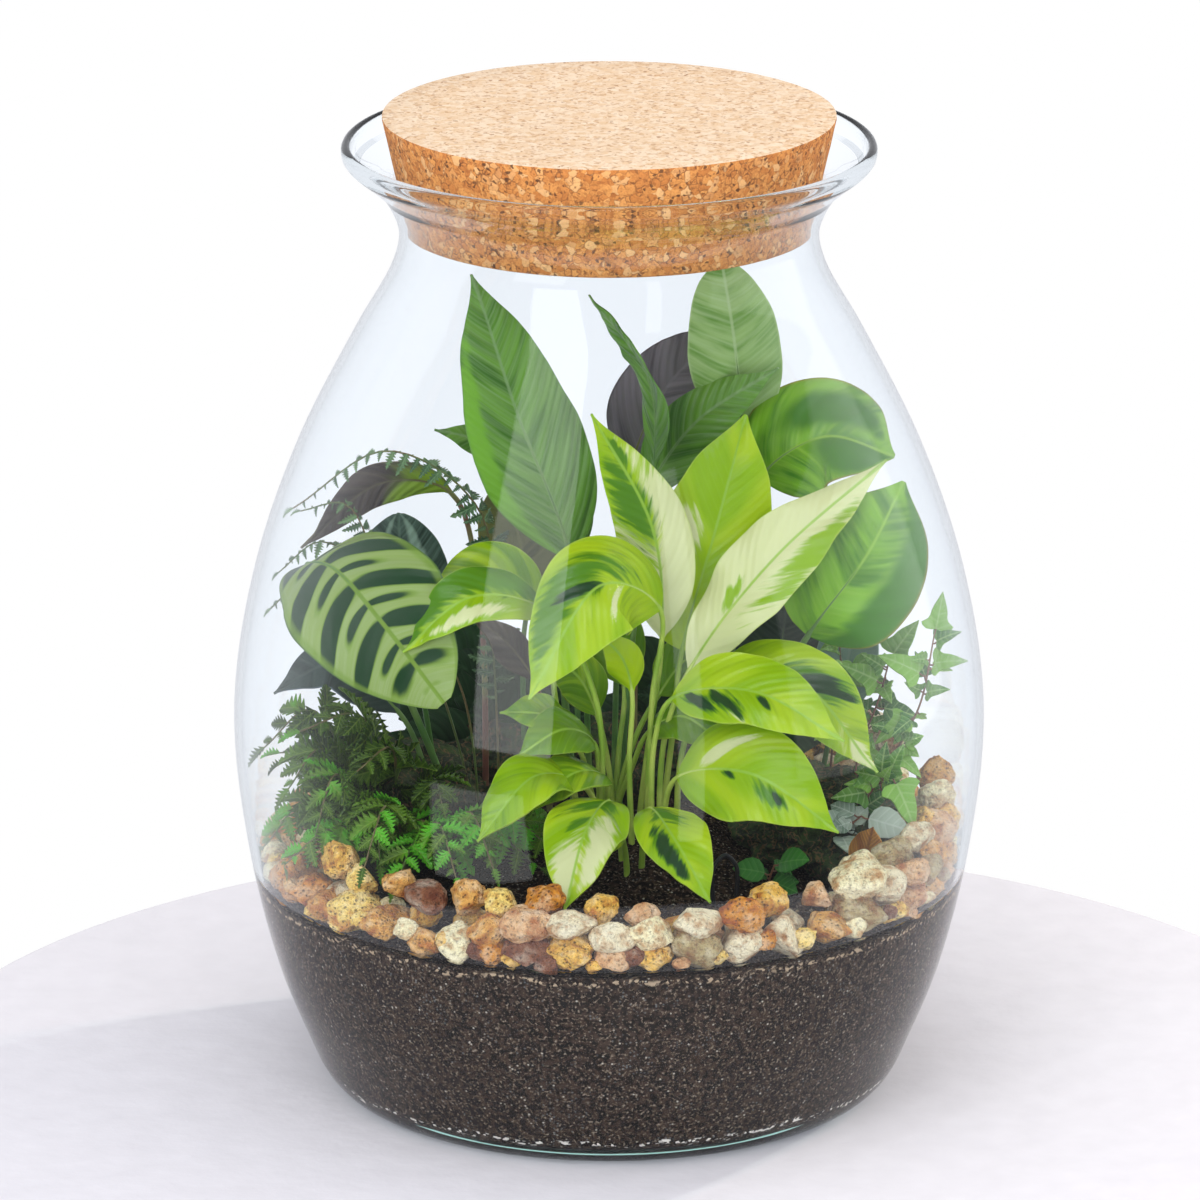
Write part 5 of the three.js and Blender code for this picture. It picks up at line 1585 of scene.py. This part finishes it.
class CorkSettings(bpy.types.PropertyGroup):
    granule: bpy.props.FloatProperty(
        name="Granule", description="Width of one granule of bark", default=2.9 * MM,
        min=0.5 * MM, max=10 * MM, unit="LENGTH",
    )
    pale: colour_setting("Pale bark", "Colour of the pale granules", "#d8924a")
    tan: colour_setting("Tan bark", "Colour of the middle granules", "#c27836")
    brown: colour_setting("Brown bark", "Colour of the brown granules", "#a05c26")


class SoilSettings(bpy.types.PropertyGroup):
    grain: bpy.props.FloatProperty(
        name="Grain", description="Width of one grain of grit", default=1.4 * MM,
        min=0.3 * MM, max=10 * MM, unit="LENGTH",
    )
    dark: colour_setting("Dark soil", "Colour of the moist crumbs", "#090504")
    brown: colour_setting("Brown soil", "Colour of the drier crumbs", "#1a110b")


class PlantSettings(bpy.types.PropertyGroup):
    lime: colour_setting("Lime", "Colour of the bright leaves", "#9cc400")
    yellow: colour_setting("Yellow lime", "Colour of their paler parts", "#bfd81c")
    # Mid green is also the painted shade that a leaf's tone lays over leaves in shade.
    green: colour_setting("Mid green", "Colour brushed over older leaves", "#5c9210")
    flecks: colour_setting("Flecks", "Colour of their dark flecks", "#234a22")
    cream: colour_setting("Cream", "Colour of their pale parts", "#eaeaae")


class StageSettings(bpy.types.PropertyGroup):
    plinth_radius: bpy.props.FloatProperty(
        name="Plinth radius", description="Radius of the round plinth", default=0.304,
        min=0.1, max=2, unit="LENGTH",
    )
    key_power: bpy.props.FloatProperty(
        name="Key light", description="Power of the light from the right", default=46,
        min=0, max=200, unit="POWER",
    )


class TerrariumSettings(bpy.types.PropertyGroup):
    jar: bpy.props.PointerProperty(type=JarSettings)
    cork: bpy.props.PointerProperty(type=CorkSettings)
    soil: bpy.props.PointerProperty(type=SoilSettings)
    plants: bpy.props.PointerProperty(type=PlantSettings)
    stage: bpy.props.PointerProperty(type=StageSettings)


# ---------------------------------------------------------------- operators


class TERRARIUM_OT_jar(bpy.types.Operator):
    """Spins the blown glass jar with its flared rim and thick base"""

    bl_idname = "terrarium.jar"
    bl_label = "Glass jar"

    def execute(self, context):
        outer = [p for p in wall_curve() if p[1] < LIP_Z]
        inside = [p for p in inside_profile(0) if p[1] < LIP_Z + 0.5][::-1]
        piece = spun([*FOOT, *outer, *LIP, *inside])
        piece.data.materials.append(clear_glass_finish(context.scene.terrarium.jar))
        piece.data.materials.append(wetted_glass_finish())
        rim = clear_glass_finish(context.scene.terrarium.jar, "fire_polished_rim", 1.27)
        piece.data.materials.append(rim)
        for face in piece.data.polygons:
            inward = face.normal.xy.dot(face.center.xy) < 0 or face.normal.z > 0.5
            if inward and face.center.z < (SOIL.edge + 1) * MM:
                face.material_index = 1
            elif face.center.z > POLISHED_Z * MM:
                face.material_index = 2
        rounded_off(piece, 50)
        dress(piece, "jar_glass", "glass_jar", "clear_glass")
        return {"FINISHED"}


class TERRARIUM_OT_cork(bpy.types.Operator):
    """Turns the tapered cork with softened edges"""

    bl_idname = "terrarium.cork"
    bl_label = "Cork"

    def execute(self, context):
        def radius(z):
            return CORK.seat + CORK.taper * (z - CORK.bottom)

        low, high, edge = CORK.bottom, CORK.top, CORK.edge
        cut = edge * 0.3
        side = [(radius(z), z) for z in (mix(low + edge, high - edge, i / 12) for i in range(13))]
        under = [(r, low) for r in (0, 20, 40, 60, radius(low) - edge)]
        over = [(r, high) for r in (radius(high) - edge, 70, 55, 40, 20, 0)]
        piece = spun([*under, (radius(low) - cut, low + cut), *side,
                      (radius(high) - cut, high - cut), *over])
        for vertex in piece.data.vertices:
            wear = noise.noise(vertex.co / MM * 0.35) * CORK.wear * MM
            if vertex.co.xy.length > 60 * MM:
                vertex.co.xy *= 1 + wear / vertex.co.xy.length
        piece.data.materials.append(cork_finish(context.scene.terrarium.cork))
        rounded_off(piece, 50)
        dress(piece, "cork_turned", "cork_stopper", "cork")
        return {"FINISHED"}


class TERRARIUM_OT_soil(bpy.types.Operator):
    """Fills the jar with soil, smooth against the glass and crumbly on top"""

    bl_idname = "terrarium.soil"
    bl_label = "Soil"

    def execute(self, context):
        side = [p for p in inside_profile(CLEAR) if p[1] < SOIL.edge - 1]
        rim = (inside_radius(SOIL.edge, CLEAR), SOIL.edge)
        steps = 64
        top = []
        for i in range(1, steps):
            r = mix(rim[0], 0, i / steps)
            top.append((r, soil_height(r)))
        piece = spun([*side, rim, *top, (0, SOIL.mound)])
        for vertex in piece.data.vertices:
            place = vertex.co / MM
            reach = place.xy.length
            if place.z > SOIL.edge - 2 and reach < rim[0] - 1:
                lump = 2.2 * noise.noise(place * 0.07) + 1.5 * noise.noise(place * 0.22)
                crumb = 0.8 * noise.noise(place * 0.6)
                vertex.co.z += (lump + crumb - 0.6) * smooth(rim[0] - reach, 1, 8) * MM
        piece.data.materials.append(soil_finish(context.scene.terrarium.soil))
        rounded_off(piece, 60)
        dress(piece, "soil_filled", "soil", "soil")
        return {"FINISHED"}


class TERRARIUM_OT_pebbles(bpy.types.Operator):
    """Piles the pebbles against the glass, one piece for each arc of the ring"""

    bl_idname = "terrarium.pebbles"
    bl_label = "Pebbles"

    def execute(self, context):
        finish = pebble_finish()
        clear_selection()
        bpy.ops.mesh.primitive_ico_sphere_add(subdivisions=4, radius=1)
        pattern = bpy.context.object
        pattern.data.attributes.new("stone", "FLOAT_COLOR", "POINT")
        pattern.data.attributes.new("grit", "FLOAT", "POINT")
        pattern.data.materials.append(finish)
        ball = [vertex.co.copy() for vertex in pattern.data.vertices]
        for index in range(PEBBLE.arcs):
            stones = []
            for points, colour, knobbly in pebble_arc(index, ball):
                twin = pattern.copy()
                twin.data = mesh = pattern.data.copy()
                context.scene.collection.objects.link(twin)
                mesh.vertices.foreach_set("co", [c * MM for point in points for c in point])
                mesh.attributes["stone"].data.foreach_set("color", [*colour] * len(points))
                mesh.attributes["grit"].data.foreach_set("value", [knobbly] * len(points))
                stones.append(twin)
            pile = joined(stones)
            rounded_off(pile, 60)
            dress(pile, f"pebble_pile_{index + 1}", f"pebbles_{index + 1}", "pebble")
        bpy.data.objects.remove(pattern)
        return {"FINISHED"}


def lime_finishes(settings, name, patch=None):
    """The upper side and the duller underside of the bright leaves."""
    return (lime_leaf_finish(f"{name}_upper", settings, 0.27, patch=patch),
            lime_leaf_finish(f"{name}_under", settings, 0.5, 0.35, patch))


class TERRARIUM_OT_lime_leaves(bpy.types.Operator):
    """Grows the bright variegated leaves of the middle clump"""

    bl_idname = "terrarium.lime_leaves"
    bl_label = "Lime leaves"

    def execute(self, context):
        settings = context.scene.terrarium.plants
        lime = lime_finishes(settings, "lime")
        cream = lime_finishes(settings, "cream", settings.lime)
        stalk = stalk_finish("lime_stalk", "#8fb03a", "#b9c95a")
        for i, (name, form) in enumerate(LIME_LEAVES.items()):
            finishes, slot = (cream, "cream_leaf") if name == "cream" else (lime, "lime_leaf")
            grow_leaf(f"lime_leaf_{name}", form, finishes, stalk, slot, 3.7 * i)
        return {"FINISHED"}


class TERRARIUM_OT_other_leaves(bpy.types.Operator):
    """Grows the dark, broad, striped and dead leaves on their long stalks"""

    bl_idname = "terrarium.other_leaves"
    bl_label = "Other leaves"

    def execute(self, context):
        green_stalk = stalk_finish("green_stalk", "#4f7a35", "#6f8f45")
        red_stalk = stalk_finish("flushed_stalk", "#7a7a45", "#7a4a3c")
        dark = [plain_leaf_finish(f"dark_{side}", *look) for side, look in DARK_LOOKS.items()]
        for i, (name, form) in enumerate(DARK_LEAVES.items()):
            grow_leaf(f"dark_leaf_{name}", form, dark, green_stalk, "dark_leaf", 2.3 * i)
        looks = {}
        for name, (slot, *look) in PLAIN_LOOKS.items():
            made = plain_leaf_finish(f"{name}_leaf", *look)
            looks[name] = ((made, made), slot)
        wine = plain_leaf_finish("wine_under", *WINE_LOOK)
        striped = striped_leaf_finish("striped_upper", *STRIPED_LOOK)
        looks["striped"] = ((striped, wine), "striped_leaf")
        for i, (name, form) in enumerate(OTHER_LEAVES.items()):
            finishes, slot = looks[form["look"]]
            stalk = red_stalk if form["look"] in RED_STALKED else green_stalk
            grow_leaf(name, form, finishes, stalk, slot, 5.1 * i)
        # The undergrowth's near black-green colours are painted shade.
        painted_shade_leaf = plain_leaf_finish("undergrowth_painted_shade", *PAINTED_SHADE_LOOK)
        for i, (name, form) in enumerate(CLUMPS.items()):
            grow_clump(f"undergrowth_{name}", form, (painted_shade_leaf, painted_shade_leaf), green_stalk, "dark_leaf",
                       60 + i)
        return {"FINISHED"}


class TERRARIUM_OT_ferns(bpy.types.Operator):
    """Grows the arching fronds and the bushy fern"""

    bl_idname = "terrarium.ferns"
    bl_label = "Ferns"

    def execute(self, context):
        fern, airy = (small_leaf_finish(name, *SMALL_LOOKS[name])
                      for name in ("fern_green", "frond_green"))
        rib = stalk_finish("frond_rib", "#5a6b35", "#6a5a35")
        tooth = small_leaf(PINNA, (airy, airy), droop=0.35, lean=0.16)
        for name, form in ARCHING_FRONDS.items():
            form = {**form, "reach": form["reach"] * 1.1}
            grow_frond(f"arching_frond_{name}", [form], tooth, rib, "fern",
                       hang=0.6, wide=0.6, dense=3, thick=0.6)
        leaflet = small_leaf(PINNA, (fern, fern), droop=0.3, lean=0.16)
        for name, form in FERN_FRONDS.items():
            forms = [form, *(turned_way(form, *turn) for turn in FERN_TURNS)]
            grow_frond(f"fern_frond_{name}", forms, leaflet, rib, "fern",
                       hang=0.2, wide=0.78, thick=1.0)
        bpy.data.objects.remove(tooth)
        bpy.data.objects.remove(leaflet)
        moss = moss_finish()
        for name, (centre, half_sizes, seed) in MOSS.items():
            cushion(f"moss_{name}", centre, half_sizes, moss, seed)
        return {"FINISHED"}


class TERRARIUM_OT_creepers(bpy.types.Operator):
    """Grows the creeper, the sprigs and the wire pin between them"""

    bl_idname = "terrarium.creepers"
    bl_label = "Creepers"

    def execute(self, context):
        leaf, silver, green = (small_leaf_finish(name, *SMALL_LOOKS[name])
                               for name in ("creeper_leaf", "silver_leaf", "round_leaf"))
        wiry = stalk_finish("creeper_stem", "#6b4a35", "#8a5a45")
        ivy = small_leaf(LOBED, (leaf, leaf), cup=0.35, droop=0.3)
        pale = small_leaf(OVAL, (silver, silver), cup=0.25, droop=0.2)
        disc = small_leaf(OVAL, (green, green), cup=0.2, droop=0.2)
        for name, form in CREEPER_STEMS.items():
            grow_creeper(f"creeper_stem_{name}", form, ivy, wiry, "creeper", extra=14)
        grow_creeper("sprig_silver", SPRIGS["silver"], pale, wiry, "silver_leaf", extra=12)
        grow_creeper("sprig_round_leaved", SPRIGS["round_leaved"], disc, wiry, "green_leaf",
                     extra=3)
        for pattern in (ivy, pale, disc):
            bpy.data.objects.remove(pattern)
        self.pin()
        return {"FINISHED"}

    def pin(self):
        """The bent wire pin that stands in the soil."""
        left, right = (Vector((*foot, 0)) for foot in PIN.feet)
        ground = soil_height(left.length)
        top, low = ground + PIN.high, ground - STEM_SINK
        heights = [(left, low), (left, ground), (left, top - PIN.bend), ((left + right) / 2, top),
                   (right, top - PIN.bend), (right, ground), (right, low)]
        knots = [Vector((at.x, at.y, z)) for at, z in heights]
        places, _ = stretch(knots, 0, 1, 60)
        piece = tubes([[(at, PIN.radius) for at, _ in places]], wire_finish(), 12)
        dress(piece, "wire_bent", "wire_pin", "black_wire")


# ---------------------------------------------------------------- the stage

PLINTH = SimpleNamespace(depth=0.12, middle=(0.011, -0.027, -0.0602))
CAMERA = SimpleNamespace(lens=236.7, sensor=36, place=(0, -3.0, 1.134), down=17.33, left=0.069)
LAMPS = [  # azimuth and elevation in degrees; distance, width and height in metres; watts
    ("window_right", 88, 6, 1.5, 1.9, 1.0, 3.2), ("window_left", -28.5, 23, 2.0, 0.9, 1.9, 9.6),
    ("window_low", -39, -20, 2.0, 1.0, 0.67, 2.0), ("strip_right", 24, 8, 2.2, 0.3, 2.4, 2.4),
    ("overhead", -24, 57, 1.8, 1.1, 0.45, 5.0),
]
MIRRORED_ONLY = ("window_right", "window_low")    # these show in the glass and light no walls
KEY = SimpleNamespace(place=(1.25, 0.82, 0.95), radius=0.02, colour="#fff6e8")


class TERRARIUM_OT_stage(bpy.types.Operator):
    """Sets the plinth, the white surround, the lights and the camera"""

    bl_idname = "terrarium.stage"
    bl_label = "Stage"

    def execute(self, context):
        settings = context.scene.terrarium.stage
        clear_selection()
        bpy.ops.mesh.primitive_cylinder_add(
            vertices=256, radius=settings.plinth_radius, depth=PLINTH.depth,
            location=PLINTH.middle)
        plinth = context.object
        plinth.name = "plinth"
        fitted(plinth, "BEVEL", width=3 * MM, segments=3)
        bpy.ops.object.transform_apply()
        plinth.data.materials.append(plaster_finish())
        rounded_off(plinth)
        self.surround(context.scene)
        for name, *numbers in LAMPS:
            lamp = self.softbox(name, *numbers)
            lamp.visible_diffuse = name not in MIRRORED_ONLY
        self.spot(context.scene, settings.key_power)
        camera = bpy.data.cameras.new("camera")
        camera.lens, camera.sensor_width = CAMERA.lens, CAMERA.sensor
        camera.clip_end = 20
        eye = bpy.data.objects.new("camera", camera)
        eye.location = CAMERA.place
        eye.rotation_euler = (math.radians(90 - CAMERA.down), 0, math.radians(CAMERA.left))
        context.scene.collection.objects.link(eye)
        context.scene.camera = eye
        context.scene.view_settings.view_transform = "Standard"
        return {"FINISHED"}

    def surround(self, scene):
        """White all round for the eye, paler behind the jar than before it in its reflections."""
        world = bpy.data.worlds.new("studio")
        scene.world = world
        world.use_nodes = True
        tree = world.node_tree
        tree.nodes.clear()
        rays = node(tree, "ShaderNodeLightPath")
        sky = node(tree, "ShaderNodeTexCoord").outputs["Generated"]
        way = node(tree, "ShaderNodeSeparateXYZ", [sky])
        behind = node(tree, RANGE, [way.outputs["Y"], -0.4, 0.5, 0.12, 0.95], **SMOOTH)
        front = node(tree, RANGE, [way.outputs["Y"], -0.9, 0.6, 1.72, 0.64])
        seen = node(tree, "ShaderNodeBackground", ["#ffffff", 1.0])
        through = node(tree, "ShaderNodeBackground", ["#fafbff", 1.11])
        mirrored = node(tree, "ShaderNodeBackground", ["#f4f6fc", behind])
        ambient = node(tree, "ShaderNodeBackground", ["#f7f7fd", front])
        clear = node(tree, "ShaderNodeMixShader", [rays.outputs["Glossy Depth"], through, mirrored])
        lit = node(tree, "ShaderNodeMixShader", [rays.outputs["Is Diffuse Ray"], clear, ambient])
        both = node(tree, "ShaderNodeMixShader", [rays.outputs["Is Camera Ray"], lit, seen])
        node(tree, "ShaderNodeOutputWorld", [both])

    def softbox(self, name, azimuth, elevation, distance, wide, high, power):
        """A rectangular lamp that faces the jar; azimuth 0 is the camera's side."""
        light = bpy.data.lights.new(name, "AREA")
        light.shape, light.size, light.size_y = "RECTANGLE", wide, high
        light.energy = power
        lamp = bpy.data.objects.new(name, light)
        turn, tilt = math.radians(azimuth), math.radians(elevation)
        middle = Vector((0, 0, 0.2))
        away = Vector((math.sin(turn) * math.cos(tilt), -math.cos(turn) * math.cos(tilt),
                       math.sin(tilt)))
        lamp.location = middle + away * distance
        lamp.rotation_euler = away.to_track_quat("Z", "Y").to_euler()
        bpy.context.scene.collection.objects.link(lamp)
        return lamp

    def spot(self, scene, power):
        """The small hard lamp at the right, behind, that throws the jar's shadow."""
        light = bpy.data.lights.new("key", "POINT")
        light.energy, light.shadow_soft_size = power, KEY.radius
        light.color = hex_colour(KEY.colour)[:3]
        lamp = bpy.data.objects.new("key", light)
        lamp.location = KEY.place
        lamp.visible_glossy = False
        scene.collection.objects.link(lamp)


OPERATORS = (
    TERRARIUM_OT_stage, TERRARIUM_OT_jar, TERRARIUM_OT_cork, TERRARIUM_OT_soil,
    TERRARIUM_OT_pebbles, TERRARIUM_OT_lime_leaves, TERRARIUM_OT_other_leaves,
    TERRARIUM_OT_ferns, TERRARIUM_OT_creepers,
)


class TERRARIUM_PT_panel(bpy.types.Panel):
    """Shows a button for each step that builds the terrarium"""

    bl_idname = "TERRARIUM_PT_panel"
    bl_label = "Terrarium"
    bl_space_type = "VIEW_3D"
    bl_region_type = "UI"
    bl_category = "Terrarium"

    def draw(self, context):
        for operator in OPERATORS:
            self.layout.operator(operator.bl_idname)


CLASSES = (
    JarSettings, CorkSettings, SoilSettings, PlantSettings, StageSettings, TerrariumSettings,
    *OPERATORS, TERRARIUM_PT_panel,
)


def register():
    for cls in CLASSES:
        bpy.utils.register_class(cls)
    bpy.types.Scene.terrarium = bpy.props.PointerProperty(type=TerrariumSettings)


def unregister():
    del bpy.types.Scene.terrarium
    for cls in reversed(CLASSES):
        bpy.utils.unregister_class(cls)


def main():
    register()
    for operator in OPERATORS:
        name = operator.bl_idname.split(".")[1]
        getattr(bpy.ops.terrarium, name)()


if __name__ == "__main__":
    main()
